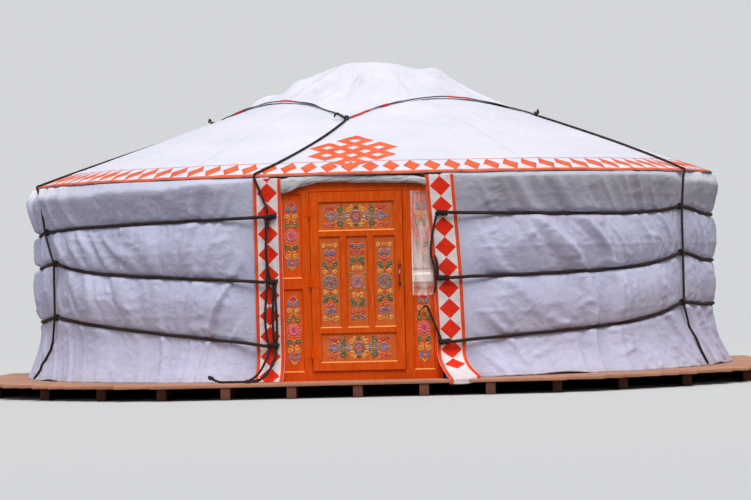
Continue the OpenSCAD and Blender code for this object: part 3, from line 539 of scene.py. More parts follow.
orange_lath = painted("orange_lath_paint", rgb(214, 96, 26), (60, 60, 60))
orange_pole = painted("orange_pole_paint", rgb(216, 92, 24), (40, 40, 40))
red_timber = painted("red_timber_paint", rgb(196, 62, 26), (50, 50, 9))
for k in range(1, 6):
    dress(f"lattice_{k}", orange_lath)
dress("roof_poles", orange_pole)
dress("door_head_rail", orange_pole)
for node in ("crown_ring", "crown_spokes", "crown_hub", "post_left", "post_right"):
    dress(node, red_timber)

# Wool felt behind the canvas, off white with grey and brown hairs
nodes, place = begin_material("wool_felt")
tufts = nodes.noise(place, 14, 6, 0.7)
hairs = nodes.noise(place, 420, 3, 0.75)
color = nodes.mottled(tufts, rgb(226, 220, 206), rgb(196, 186, 168))
color = nodes.mix(nodes.span(hairs, 0.6, 0.75, 0, 0.5), color, rgb(150, 136, 118))
felt = finish_material("wool_felt", color, 0.95, nodes.plus(tufts, hairs), 0.003, sheen_weight=0.3)
for k in range(1, 6):
    dress(f"wall_felt_{k}", felt)
    dress(f"roof_felt_{k}", felt)


# Wall canvas
# Five lengths of white cotton canvas, each as wide as one wall section. Three
# girth ropes pinch them against the felt; between the ropes the cloth swells,
# drags into slanting folds away from the door and flares out over the deck at
# its hem. Old packing creases cross it.
deck_top = 0.128
wall_r = 2.95      # turns an angle into metres along the wall
canvas_depth = 0.0016
eave_r, eave_height, roof_slope, roof_layers = 2.940, 1.660, 0.344, 0.004 + 0.020
slope_cos = math.cos(math.atan(roof_slope))
felt_out = 2.9153
# The doorway's half width on the lattice's circle, as an angle, and what is
# left for each of the five wall sections
door_angle = math.degrees(math.asin(0.675 / 2.885))
section_angle = (360 - 2 * door_angle) / 5
pinch_r = felt_out / math.cos(math.radians(section_angle / 24)) + 0.0043
# From the door frame's outer corner the canvas runs straight to the wall's
# round, which it meets at this angle
corner_x, corner_y = 0.671, 2.886
canvas_taut = math.degrees(math.atan(corner_x / corner_y)
                           + math.acos(pinch_r / math.hypot(corner_x, corner_y)))


def roof_top(r):
    return deck_top + eave_height + (eave_r - r) * roof_slope


canvas_head = roof_top(2.93) - roof_layers / slope_cos - 0.0006
# Of each rope on each side: height at the knot and at the side tie, how evenly
# it rises between them, how far it falls behind the tie and the tie's angle;
# then the heights at the back
girth_heights = {-1: ((0.290, 0.535, 0.9, 0.045, 64.3), (0.800, 0.991, 0.6, 0.038, 64.2),
                      (1.320, 1.259, 0.7, 0.030, 69.2)),
                 1: ((0.290, 0.539, 0.5, 0.028, 63.1), (0.800, 0.957, 0.27, 0.070, 63.1),
                     (1.320, 1.345, -1.8, 0.061, 63.1))}
back_heights = (0.50, 0.92, 1.256)


def smooth_step(x, low, high):
    t = min(1, max(0, (x - low) / (high - low)))
    return t * t * (3 - 2 * t)


def wander(x, y, z):
    """Smooth noise, about -1 to 1."""
    return noise.noise(Vector((x, y, z)))


def polar(r, angle, z):
    """A point at a radius and an angle from the door's middle, right of it above 0."""
    a = math.radians(angle)
    return Vector((r * math.sin(a), -r * math.cos(a), z))


def half_turn(angle):
    """The same direction, between -180 and 180 degrees."""
    return (angle + 180) % 360 - 180


def from_door(angle):
    """The angle from the door's middle, either way round."""
    turned = angle % 360
    return min(turned, 360 - turned)


def girth_z(k, angle):
    """Height of a girth rope: it rises from the knots to the side ties and falls a little behind them."""
    turned = half_turn(angle)
    at_knot, at_tie, even, fall, tie = girth_heights[1 if turned > 0 else -1][k]
    start, end = math.sin(math.radians(door_angle)), math.sin(math.radians(tie))
    share = max(0, math.sin(math.radians(min(abs(turned), tie))) - start) / (end - start)
    height = at_knot + (at_tie - at_knot) * (even * share + (1 - even) * share ** 8)
    height -= fall * smooth_step(abs(turned), tie, tie + 14)
    height += (back_heights[k] - height) * smooth_step(abs(turned), 100, 180)
    return deck_top + height


def canvas_r(angle):
    """The pinched canvas's radius, which grows where it runs straight to the door."""
    return pinch_r / math.cos(math.radians(max(0, canvas_taut - from_door(angle))))


def slack(angle):
    """0 where the door frame holds the cloth, 1 from nine degrees further round."""
    return min(1, max(0, from_door(angle) - door_angle) / 9)


def bell(x, width):
    return math.exp(-(x / width) ** 2)


def ridge(x, y, seed, width=0.16):
    """Narrow rounded ridges along the zero lines of a noise field."""
    return bell(wander(x, y, seed), width)


def patch(x, y, seed, level=0.0):
    """A mask of soft patches, 0 to 1."""
    return min(1, max(0, 0.5 + 2.2 * (wander(x, y, seed) - level)))


# The angle of each tie-down, by its share of the way from the eave to the deck
tie_downs = [
    ((0, 64.1), (0.2, 63.1), (0.69, 63.1), (1, 68.3)),
    ((0, -75.0), (0.10, -71.8), (0.23, -69.2), (0.39, -64.2), (0.67, -64.3), (0.80, -65.8), (1, -71.6)),
    ((0, 162), (1, 164))]


def tie_angle(tie, z):
    return float(numpy.interp((canvas_head - z) / (canvas_head - deck_top), *zip(*tie)))


def tie_gap(angle, z):
    """Distance along the wall, in metres, to the nearest tie-down rope."""
    return min(abs(half_turn(angle - tie_angle(tie, z))) for tie in tie_downs) * math.radians(1) * wall_r


def crest(x, y, seed):
    """Separate rounded ridges, where a noise field is above its mean."""
    return max(0, wander(x, y, seed)) ** 1.2


def wall_cloth_offset(angle, z):
    """How far the cloth stands outside the pinched radius, folds included."""
    ropes = [girth_z(k, angle) for k in range(3)]
    across = math.radians(half_turn(angle)) * wall_r      # metres from the door, signed
    run = abs(across)
    side = 1 if across > 0 else -1
    if z < ropes[0]:
        t = (z - deck_top) / (ropes[0] - deck_top)
        swell = (0.122 + 0.016 * bell(from_door(angle) - 87, 30)) * (1 - t) ** 1.8
        swell += 0.030 * (1 - t) ** 2 * wander(across * 2.1, 0.5, 3.3)
    elif z < ropes[2]:
        k = 0 if z < ropes[1] else 1
        t = (z - ropes[k]) / (ropes[k + 1] - ropes[k])
        swell = 0.052 * math.sin(math.pi * t) * (1 + 0.30 * wander(across * 1.7, k * 5 + t, 1.7))
        swell *= 1 - (0.7 if side < 0 and k else 0.3) * bell(from_door(angle) - 83, 25)
    else:
        # The head of the wall: the cloth stands out over it and is drawn in below,
        # just under the roof's edge near the door and lower round the sides
        t = min(1, (z - ropes[2]) / (canvas_head - ropes[2]))
        top = 0.92 - 0.20 * (smooth_step(run, 2.9, 3.4) if side > 0 else smooth_step(run, 0.6, 3.0))
        top = min(0.93, top + 0.07 * wander(across * 1.3, 7.7, 0.5) + 0.05 * wander(across * 5, 7.7, 9.5))
        away = (top - t) / top if t < top else 0.75 * (t - top) / (1 - top)
        swell = 0.098 - (0.038 if side > 0 else 0.008) * bell(from_door(angle) - 82, 30)
        swell *= max(0, 1.02 - math.sqrt(away * away + 0.02))
    near = min(abs(z - rope) for rope in ropes)
    held = 1 - bell(near, 0.022)
    # Slanting drag folds, long and soft, then shorter and sharper ones
    lean = 58 + 14 * wander(run * 0.7, z * 0.9, side * 4) * (1 - 0.85 * smooth_step(run, 3, 5))
    if side < 0:
        lean += 62 * smooth_step(run, 0.9, 2.4)
    lean = math.radians(lean)
    over = run * math.sin(lean) + (z - 1) * math.cos(lean)
    along = run * math.cos(lean) - (z - 1) * math.sin(lean)
    strength = 1.2 if side > 0 else 1
    folds = 0.100 * strength * crest(over * 6.5, along * 0.50, 11 + side) \
        * patch(run * 0.9, z * 1.3, 5 + side, -0.25)
    folds += 0.055 * strength * crest(over * 3.1, along * 0.35, 81 + side)
    folds += 0.050 * strength * crest(over * 12.0, along * 0.9, 21 + side) \
        * patch(run * 1.5, z * 1.9, 15 + side, -0.10)
    # Crumples in patches
    bent = wander(across * 3, z * 3, 2.2) * 1.2
    folds += 0.024 * crest(across * 7 + bent, z * 13 + bent, 31) * patch(across * 1.6, z * 2.4, 35, -0.02)
    folds += 0.014 * crest(across * 14 + bent, z * 24 - bent, 41) * patch(across * 2.2, z * 2.7, 45, 0.0)
    # Puckers where a rope gathers the cloth
    folds += 0.024 * crest(across * 15, near * 4, 51) * bell(near - 0.04, 0.05)
    # Packing creases, level and upright
    for crease in (0.655, 1.17, 1.58):
        bent_crease = z - crease - 0.012 * wander(across * 1.5, crease, 6)
        folds += 0.0045 * bell(bent_crease, 0.011) * patch(across * 0.8, crease * 3, 61, -0.05)
    upright = abs((across + 0.31) % 0.62 - 0.31)
    folds += 0.0035 * bell(upright - 0.31, 0.011) * patch(across, z * 1.1, 71, 0.0)
    turned = from_door(angle)
    folds *= smooth_step(turned, door_angle + 2.6, door_angle + 7.5) * smooth_step(180 - turned, 0, 6)
    if side < 0:
        folds *= 0.55 + 0.45 * smooth_step(z, ropes[0] - 0.15, ropes[0] + 0.02)
    reach = swell + folds * held * (0.75 if z > ropes[2] else 1)
    gap = tie_gap(angle, z)
    drawn_in = 0.38 * bell(gap, 0.035) + 0.46 * bell(gap, 0.20)
    reach *= 1 - drawn_in * (0.12 if z < ropes[0] else 1)
    return max(-0.0015, reach * slack(angle)) + 0.0006


def grid_sheet(name, columns, rows, place_at):
    """A sheet of cloth shaped from a grid. place_at gives a vertex's place and UV from two shares."""
    bpy.ops.mesh.primitive_grid_add(x_subdivisions=columns, y_subdivisions=rows, size=2)
    piece = bpy.context.object
    piece.name = name
    mesh = piece.data
    cloth_uv = []
    for vertex in mesh.vertices:
        place, uv = place_at((vertex.co.x + 1) / 2, (vertex.co.y + 1) / 2)
        vertex.co = place
        cloth_uv.append(uv)
    layer = mesh.uv_layers.active
    for loop in mesh.loops:
        layer.data[loop.index].uv = cloth_uv[loop.vertex_index]
    mesh.shade_smooth()
    return piece


def thicken(piece, depth):
    """Gives a finished cloth its thickness, inwards."""
    select_only(piece)
    solid = piece.modifiers.new("thickness", "SOLIDIFY")
    solid.thickness = depth
    solid.offset = -1
    bpy.ops.object.modifier_apply(modifier=solid.name)
    piece.select_set(False)


# Woven cotton: small creases, crumpled facets, a fine weave and a slow change
# of tone
nodes, takes, gives = group("woven_cloth", [("Place", "NodeSocketVector", (0, 0, 0))],
                            [(out, "NodeSocketFloat") for out in ("Creases", "Weave", "Cloud", "Crumple")])
bent = nodes.add("ShaderNodeVectorMath", operation="MULTIPLY_ADD")
swirl = nodes.noise(takes["Place"], 5, 2, 0.5, out="Color")
nodes.put(bent.inputs[0], swirl)
bent.inputs[1].default_value = (0.25, 0.25, 0.25)
nodes.put(bent.inputs[2], takes["Place"])
fine = nodes.apart(nodes.noise(bent.outputs[0], 9, 3, 0.5), 0.5)
small = nodes.apart(nodes.noise(bent.outputs[0], 26, 2, 0.5), 0.5)
nodes.put(gives["Creases"], nodes.plus(nodes.span(fine, 0, 0.10, 1, 0),
                                       nodes.times(nodes.span(small, 0, 0.08, 1, 0), 0.35)))
crumple = None
for scale, patches in ((7, 1.7), (17, 2.9)):
    facets = nodes.add("ShaderNodeTexVoronoi", feature="SMOOTH_F1")
    nodes.put(facets.inputs["Vector"], bent.outputs[0])
    facets.inputs["Scale"].default_value = scale
    facets.inputs["Smoothness"].default_value = 0.25
    mask = nodes.span(nodes.noise(takes["Place"], patches, 2, 0.5), 0.42, 0.60)
    part = nodes.times(nodes.times(facets.outputs["Distance"], 7 / scale), mask)
    crumple = part if crumple is None else nodes.plus(crumple, part)
nodes.put(gives["Crumple"], crumple)
u, v, _ = nodes.xyz(takes["Place"])
warp = nodes.math("SINE", nodes.times(u, 3600))
weft = nodes.math("SINE", nodes.times(v, 3600))
nodes.put(gives["Weave"], nodes.times(warp, weft))
nodes.put(gives["Cloud"], nodes.noise(takes["Place"], 1.7, 4, 0.6))

nodes, place = begin_material("wall_canvas_cloth", "UV")
cloth = place_group(nodes, "woven_cloth", Place=place)
u, v, _ = nodes.xyz(place)
# The wall canvas is painted darker and bluer than the roof's, though it is the same cloth: painted shade
# and painted blue skylight
color = nodes.mottled(cloth["Cloud"], rgb(207, 207, 233), rgb(192, 192, 220))
# Creases darkened to a bluish grey: painted shade
color = nodes.mix(nodes.span(cloth["Creases"], 0.6, 1.2, 0, 0.12), color, rgb(150, 150, 172))
# Painted shade under the eave, strongest on the right
painted_eave_shade = nodes.times(nodes.span(v, 1.20, 1.42), nodes.span(u, 4, 6, 0.40, 0.08))
color = nodes.mix(painted_eave_shade, color, rgb(152, 141, 136))
# A painted highlight keeps the shoulder under the roof's edge white, less so at the door
painted_shoulder_light = nodes.times(nodes.span(v, 1.55, 1.60), nodes.span(u, 2.6, 4.2, 0.15, 0.8))
painted_shoulder_light = nodes.times(painted_shoulder_light, nodes.span(u, 14.8, 16.2, 1, 0.15))
color = nodes.mix(painted_shoulder_light, color, rgb(246, 244, 250))
soil = nodes.times(nodes.span(v, 0.09, 0.0), nodes.span(nodes.noise(place, 9, 4, 0.7), 0.4, 0.7))
color = nodes.mix(nodes.times(soil, 0.5), color, rgb(176, 164, 132))
hem_line = nodes.span(nodes.apart(v, 0.026), 0.0035, 0.0015)
stitch = nodes.math("GREATER_THAN", nodes.math("SINE", nodes.times(u, 900)), -0.2)
color = nodes.mix(nodes.times(nodes.times(hem_line, stitch), 0.35), color, rgb(150, 148, 150))
height = nodes.math("MULTIPLY_ADD", cloth["Creases"], 0.12, nodes.times(cloth["Weave"], 0.015))
height = nodes.minus(nodes.plus(height, cloth["Crumple"]), nodes.times(hem_line, 0.1))
wall_cloth = finish_material("wall_canvas_cloth", color, 0.82, height, 0.0095, sheen_weight=0.05,
                             specular_ior_level=0.2)

cloth_height, hem_share = 1.66, 0.12
for k in range(5):
    start = door_angle + k * section_angle

    def wall_place(share_x, share_y):
        angle = start + 0.01 + (section_angle - 0.02) * share_x
        z = deck_top + 0.0008 + (canvas_head - deck_top - 0.0008) * share_y
        offset = wall_cloth_offset(angle, z)
        r = canvas_r(angle) + offset
        along = math.radians(angle) * wall_r
        if share_y < hem_share:
            lift = 1 - share_y / hem_share
            z += lift * 0.026 * max(0, wander(along * 2.3, 1.5, 90) - 0.12) / 0.5
        return polar(r, angle, z), (along, share_y * cloth_height)

    sheet = grid_sheet(f"wall_cloth_{k + 1}", 240, 116, wall_place)
    thicken(sheet, canvas_depth)
    sheet.data.materials.append(wall_cloth)
    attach(sheet, "root")
    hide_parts(f"wall_canvas_{k + 1}")


# Roof canvas
# One round of the same canvas over the roof felt, open at the smoke hole. It
# lies on the poles, sags a little between them and is turned down at the eave.
# A band of orange diamonds between two lines is sewn round its edge, and an
# endless knot above the door.
pole_angles = [door_angle + i * section_angle + (k + 0.5) * section_angle / 12
               for i in range(5) for k in range(12)] + [(k - 2) * 2 * door_angle / 5 for k in range(5)]
# Of each rope on the roof: its angle at the cover's corner and at the eave
roof_ropes = ((82.5, 64.1), (-97.5, -75), (172.5, 162), (-5.0, -15.8))
corner_tie_r = 1.456
eave_lip = 0.023


def rope_on_roof(angle, r):
    """Distance in metres to the nearest rope that runs down the roof."""
    share = min(1, max(0, (r - corner_tie_r) / (eave_r - corner_tie_r)))
    return min(abs(half_turn(angle - a - (b - a) * share)) for a, b in roof_ropes) * math.radians(1) * r


def roof_place(angle, down):
    """A point of the roof canvas, by its distance up the cloth from the eave, below 0 past the edge."""
    r = eave_r - max(down, 0) * slope_cos
    across = math.radians(half_turn(angle))
    wave = 0.006 * wander(across * 7, 0.3, 4) + 0.003 * wander(across * 19, 0.9, 5)
    gap = min(abs(half_turn(angle - a)) for a in pole_angles) * math.radians(1) * r
    rise = 0.0030 * bell(gap, 0.030) * min(1, max(0, r - 0.9))
    rise += 0.0040 * ridge(across * 9, r * 1.3, 100, 0.2) * patch(across * 3, r * 1.6, 104, 0.05)
    rise += 0.0028 * ridge(across * 3 + r * 4, r * 5, 108, 0.18) * patch(across * 2, r * 1.2, 112, 0.05)
    rise *= 1 - bell(rope_on_roof(angle, r), 0.05)
    z = roof_top(r) + rise
    if down < 0.12:
        near = 1 - max(0, down) / 0.12
        z += near * near * (wave - 0.003)
    if down < 0:
        turn = min(1, -down / eave_lip)
        r += 0.018 * math.sin(turn * math.pi / 2)
        z -= 0.014 * turn ** 1.5
    return polar(r, angle, z)


def weld(piece):
    """Joins the two edges of a sheet that meet."""
    edit_whole(piece, bpy.ops.mesh.remove_doubles, threshold=0.0002)
    piece.select_set(False)


nodes, place = begin_material("roof_canvas_cloth", "UV")
cloth = place_group(nodes, "woven_cloth", Place=place)
u = nodes.xyz(place)[0]
# The canvas's faint blue is painted skylight
color = nodes.mottled(cloth["Cloud"], rgb(229, 228, 240), rgb(217, 217, 232))
# Creases darkened to a bluish grey: painted shade
color = nodes.mix(nodes.span(cloth["Creases"], 0.6, 1.2, 0, 0.10), color, rgb(184, 186, 206))
seam_gap = nodes.apart(nodes.math("MODULO", nodes.plus(u, 20), 1.0), 0.5)
seam = nodes.span(seam_gap, 0.006, 0.003)
# The seam's darker line is painted shade; its raised ridge is a bump
color = nodes.mix(nodes.times(seam, 0.25), color, rgb(186, 188, 200))
height = nodes.math("MULTIPLY_ADD", cloth["Creases"], 0.12, nodes.times(cloth["Weave"], 0.015))
height = nodes.math("MULTIPLY_ADD", cloth["Crumple"], 0.8, nodes.math("MULTIPLY_ADD", seam, 0.12, height))
roof_cloth = finish_material("roof_canvas_cloth", color, 0.8, height, 0.010, sheen_weight=0.05,
                             specular_ior_level=0.2)

roof_down = 2.315 / slope_cos


def roof_share(share_x, share_y):
    down = -eave_lip + (roof_down + eave_lip) * share_y ** 1.25
    angle = 180 + 360 * share_x
    return roof_place(angle, down), (math.radians(angle - 180) * 3.0 / math.pi, down)


roof = grid_sheet("roof_cloth", 480, 84, roof_share)
weld(roof)
thicken(roof, canvas_depth)
roof.data.materials.append(roof_cloth)
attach(roof, "root")
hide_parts("roof_canvas")

# Orange cloth of the sewn patterns
nodes, place = begin_material("orange_applique")
mottle = nodes.noise(place, 11, 4, 0.6)
weave = nodes.noise(place, 500, 2, 0.5)
color = nodes.mottled(mottle, rgb(238, 108, 62), rgb(226, 84, 40))
color = nodes.mix(nodes.span(weave, 0.5, 0.8, 0, 0.35), color, rgb(196, 66, 30))
orange_cloth = finish_material("orange_applique", color, 0.85, weave, 0.0006, sheen_weight=0.1,
                               specular_ior_level=0.2)


def sewn_on_roof(angle, down):
    """A place on the roof canvas, lifted a little more than a sewn patch is thick."""
    return roof_place(angle, down) + Vector((0, 0, 0.0016))


# A row of diamonds round the edge, and a line on each side of it
diamond_count = 106
diamonds = []
for k in range(diamond_count):
    middle = -0.944 + k * 360 / diamond_count

    def diamond_place(share_x, share_y):
        p, q = 2 * share_x - 1, 2 * share_y - 1
        angle = middle + (p - q) / 2 * 1.43
        down = 0.146 + (p + q) / 2 * 0.133
        return sewn_on_roof(angle, down), (p, q)

    diamonds.append(grid_sheet(f"diamond_{k:03d}", 5, 5, diamond_place))
for name, low, high, rows in (("edge_line", -0.0225, 0.018, 6), ("upper_line", 0.281, 0.290, 1)):

    def line_place(share_x, share_y):
        return sewn_on_roof(180 + 360 * share_x, low + (high - low) * share_y), (share_x, share_y)

    line = grid_sheet(name, 480, rows, line_place)
    weld(line)
    diamonds.append(line)
band = join_pieces("roof_band", diamonds)

# Endless knot: square loops on a slanting lattice, cut from one cloth
loops = [(0, 3), (0, 1), (0, -1), (0, -3), (-1, 0), (1, 0), (-2, 1), (-2, -1), (2, 1), (2, -1)]
knot_cell, knot_rise, thread, grid_step = 0.104, 0.098, 0.50, 0.125
cells = []
for i in range(-36, 36):
    for j in range(-36, 36):
        p, q = (i + 0.5) * grid_step, (j + 0.5) * grid_step
        for x, y in loops:
            ring = max(abs(p - (x + y)), abs(q - (x - y)))
            if 1 - thread < ring < 1 + thread:
                cells.append((i, j))
                break
corner = {}
faces = []
for i, j in cells:
    face = []
    for di, dj in ((0, 0), (1, 0), (1, 1), (0, 1)):
        key = (i + di, j + dj)
        corner.setdefault(key, len(corner))
        face.append(corner[key])
    faces.append(tuple(reversed(face)))
places = []
for i, j in corner:
    p, q = i * grid_step, j * grid_step
    x, y = (p + q) / 2 * knot_cell, (p - q) / 2 * knot_rise
    down = 0.552 + y
    places.append(sewn_on_roof(-1.0 + math.degrees(x / (eave_r - down * slope_cos)), down))
mesh = bpy.data.meshes.new("endless_knot")
mesh.from_pydata(places, [], faces)
mesh.uv_layers.new(name="cloth")
knot = bpy.data.objects.new("endless_knot", mesh)
scene.collection.objects.link(knot)
for patch_piece in (band, knot):
    thicken(patch_piece, 0.0012)
    patch_piece.data.materials.append(orange_cloth)
    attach(patch_piece, "root")


# Crown cover
# A square of canvas thrown corner-wise over the domed crown and tied down at
# its corners. It stands in folds where it leaves the dome and in ridges that
# run to the corners; a dark cord with red bindings is sewn along its edge.
cover_turn = -7.5
toward_front, toward_right = polar(1, cover_turn, 0), polar(1, 90 + cover_turn, 0)
cover_reach, edge_hollow = 1.45, 0.035
dome_r, dome_top = 0.8, 2.691


def cover_place(front, side):
    """A point of the cover, by its distances toward the front and the right corner."""
    edge = (cover_reach - abs(front) - abs(side)) / 1.4142      # the distance to the nearest edge
    ridge_side = side
    side += 0.070 * max(0, front / cover_reach) ** 3
    front *= 1 + 0.09 * max(0, front / cover_reach) ** 3
    flat = toward_front * front + toward_right * side
    r = flat.length
    angle = math.atan2(flat.x, -flat.y)
    arch = deck_top + dome_top - dome_r + math.sqrt(dome_r ** 2 - min(r, 0.799) ** 2) + 0.009
    slope = roof_top(r) + 0.0055
    # The higher of dome and roof, with a soft change from one to the other
    gap = arch - slope
    z = slope + (gap + math.sqrt(gap * gap + 0.0016)) / 2
    if r < 0.25:
        z = z + (arch - z) * (1 - smooth_step(r, 0.1, 0.25))
    foot = smooth_step(r, 0.42, 0.62)
    out = 1 - smooth_step(r, 0.95, 1.42)
    z += 0.052 * math.exp(-abs(ridge_side) / 0.06) * foot * out * (1 if front > 0 else 0.7)
    z += 0.030 * math.exp(-abs(front) / 0.12) * foot * out
    z += 0.085 * bell(side - 0.56, 0.13) * bell(front - 0.05, 0.22)
    z += 0.026 * bell(side + 0.62, 0.12) * bell(front - 0.25, 0.2)
    z += 0.030 * ridge(front * 1.6 + side * 2.2, side * 1.6, 146, 0.2) * smooth_step(-side, 0.05, 0.3) \
        * smooth_step(edge, 0.06, 0.25)
    z += 0.022 * ridge(front * 2.6 - side * 1.2, side * 3.1, 149, 0.18) * smooth_step(r, 0.35, 0.6) \
        * smooth_step(edge, 0.06, 0.25)
    pleat = ridge(angle * 2.6, r * 1.1, 130, 0.25)
    z += 0.016 * pleat * bell(r - 0.70, 0.20)
    z += 0.008 * ridge(angle * 6 + r, r * 1.5, 134, 0.25) * bell(r - 0.72, 0.24)
    z += 0.006 * ridge(front * 2.6 + 0.5 * side, side * 2.4, 138, 0.2) * smooth_step(r, 0.05, 0.3)
    if edge < 0.10:
        z += 0.010 * (1 - max(0, edge) / 0.10) ** 2 * max(0, wander(front * 4, side * 4, 142)) * 2
    return Vector((flat.x, flat.y, z))


def cover_share(share_x, share_y):
    s, t = 2 * share_x - 1, 2 * share_y - 1
    front, side = (s + t) / 2 * cover_reach, (s - t) / 2 * cover_reach
    curve = 1 - edge_hollow * (1 - abs(abs(s) - abs(t))) * max(abs(s), abs(t)) ** 8
    return cover_place(front * curve, side * curve), (s * 1.03, t * 1.03)


cover = grid_sheet("cover_cloth", 150, 150, cover_share)
edit_whole(cover, bpy.ops.mesh.normals_make_consistent, inside=False)
if cover.data.polygons[0].normal.z < 0:
    cover.data.flip_normals()
thicken(cover, canvas_depth)
cover.data.materials.append(roof_cloth)
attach(cover, "root")
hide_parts("crown_cover")

# The cord along the edge, bound with red in places
edge_routes, bindings, edge_steps = [], [], 48
for ends in (((1, 0), (0, 1)), ((0, 1), (-1, 0)), ((-1, 0), (0, -1)), ((0, -1), (1, 0))):
    line = []
    for i in range(edge_steps + 1):
        t = i / edge_steps
        front, side = (a * (1 - t) + b * t for a, b in zip(*ends))
        curve = 1 - edge_hollow * (1 - abs(2 * t - 1))
        place = cover_place(front * cover_reach * curve, side * cover_reach * curve)
        line.append(place + Vector((0, 0, 0.004)))
    edge_routes.append(line)
for line, spans in zip(edge_routes, (
        ((0.02, 0.13), (0.19, 0.23), (0.55, 0.66)), ((0.3, 0.42), (0.7, 0.78)),
        ((0.2, 0.33), (0.6, 0.72)), ((0.16, 0.24), (0.50, 0.64)))):
    for low, high in spans:
        bindings.append(line[round(low * edge_steps):round(high * edge_steps) + 1])
edge_cord = rope_mesh("cover_edge_cord", edge_routes, 0.0055, step=0.012, sides=8)
edge_cord.data.materials.append(hair_rope)
binding = rope_mesh("cover_bindings", bindings, 0.0085, step=0.012, sides=10, groove=0.05, lay=0.05)
nodes, around = begin_material("red_binding", "UV")
color = nodes.mix(nodes.noise(around, 1, 2, 0.5, (60, 4, 1)), rgb(196, 30, 34), rgb(228, 66, 52))
threads = nodes.noise(around, 1, 2, 0.5, (300, 8, 1))
red_binding = finish_material("red_binding", color, 0.8, threads, 0.0006)
binding.data.materials.append(red_binding)
for piece in (edge_cord, binding):
    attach(piece, "root")


# Girth ropes, tie-downs and knots
# Three ropes go round the wall and end in wrapped knots beside the door. Four
# more run from the corners of the crown cover over the eave to the deck and
# hitch round the girth ropes on the way; the front one ends at the top knot.
turn_r, turn_pitch = 1.3 * rope_radius, 1.8 * rope_radius
knot_radius = turn_r + rope_radius
knot_length = 4 * turn_pitch + 2 * rope_radius
tie_x, tie_y = 0.685, 2.889 + knot_radius + 0.0003
girth_radius = 0.0155
girth_r = pinch_r + girth_radius + 0.0003
girth_x = tie_x + knot_length / 2 + 0.030
girth_taut = math.degrees(math.atan(girth_x / tie_y) + math.acos(girth_r / math.hypot(girth_x, tie_y)))


def knot_middle(side, k):
    return Vector((side * tie_x, -tie_y, girth_z(k, door_angle)))


girths, angle_step = [], 1.6
for k in range(3):
    angles = [door_angle + 4 + i * angle_step for i in range(int((352 - 2 * door_angle) / angle_step) + 1)]
    round_wall = [polar(girth_r / math.cos(math.radians(max(0, girth_taut - from_door(a)))), a,
                        girth_z(k, a) + 0.004 * wander(a * 0.2, k, 150)) for a in angles]
    right = [knot_middle(1, k) + Vector((knot_length / 2 - 0.012 + gap, 0, 0)) for gap in (0, 0.034)]
    left = [knot_middle(-1, k) - Vector((knot_length / 2 - 0.012 + gap, 0, 0)) for gap in (0.034, 0)]
    girths.append(right + round_wall + left)
girth = rope_mesh("girth_rope_runs", girths, girth_radius, step=0.0155, sides=10)


def wall_point(z, angle):
    """Where a tie-down rope runs, just outside the wall canvas."""
    return polar(canvas_r(angle) + max(wall_cloth_offset(angle, z) + 0.0125, 0.0435), angle, z)


def tie_down_route(at_cover, at_eave, tie=None):
    """A rope's way down the roof, and down the wall where its angles there are given."""
    route = []
    corner_r = corner_tie_r if tie else 1.590
    for i in range(13):
        t = i / 12
        r = corner_r + (eave_r - corner_r) * t
        angle = at_cover + (at_eave - at_cover) * t
        route.append(polar(r + 0.0036, angle, roof_top(r) + 0.0116 * slope_cos))
    route.append(polar(eave_r + 0.037, at_eave, roof_top(eave_r) - 0.004))
    for i in range(1, 41 if tie else 1):
        z = canvas_head + (deck_top + rope_radius - canvas_head) * i / 40
        route.append(wall_point(z, tie_angle(tie, z)))
    return route


downs = [tie_down_route(*ends, tie) for ends, tie in zip(roof_ropes, tie_downs)]
front_angle = roof_ropes[3][1]
end = knot_middle(-1, 2) + Vector((-knot_length / 4, 0, knot_radius))
above = end + Vector((0, 0, 0.04))
start = polar(canvas_r(front_angle) + 0.0345, front_angle, canvas_head)
downs.append(tie_down_route(*roof_ropes[3]) + [start + (above - start) * i / 4 for i in range(4)]
             + [above, end])
tie_down = rope_mesh("tie_down_runs", downs, rope_radius, step=0.0125, sides=10)


def coil(middle, axis, turns, radius, pitch, tilt=0.0):
    """Turns of rope round an axis, packed side by side."""
    along = axis.normalized()
    up = Vector((0, 0, 1)) if abs(along.z) < 0.8 else Vector((0, -1, 0))
    beside = along.cross(up).normalized()
    up = beside.cross(along)
    places = []
    count = round(turns * 12)
    for i in range(count + 1):
        a = 2 * math.pi * i / 12 + tilt
        lag = along * ((i / 12 - turns / 2) * pitch)
        wobble = 1 + 0.06 * math.sin(2.3 * i)
        places.append(middle + lag + (beside * math.cos(a) + up * math.sin(a)) * radius * wobble)
    return places


def hung(a, b, bow, out, wave=0.0):
    """A slack rope between two points, bowed sideways and forward."""
    places, steps = [], 10
    for i in range(steps + 1):
        t = math.pi * i / steps
        aside = bow * math.sin(t) + wave * math.sin(2 * t)
        places.append(a + (b - a) * i / steps + Vector((aside, -out * math.sin(t), 0)))
    return places


def at(base, x, y, z):
    """A place moved by so much."""
    return base + Vector((x, y, z))


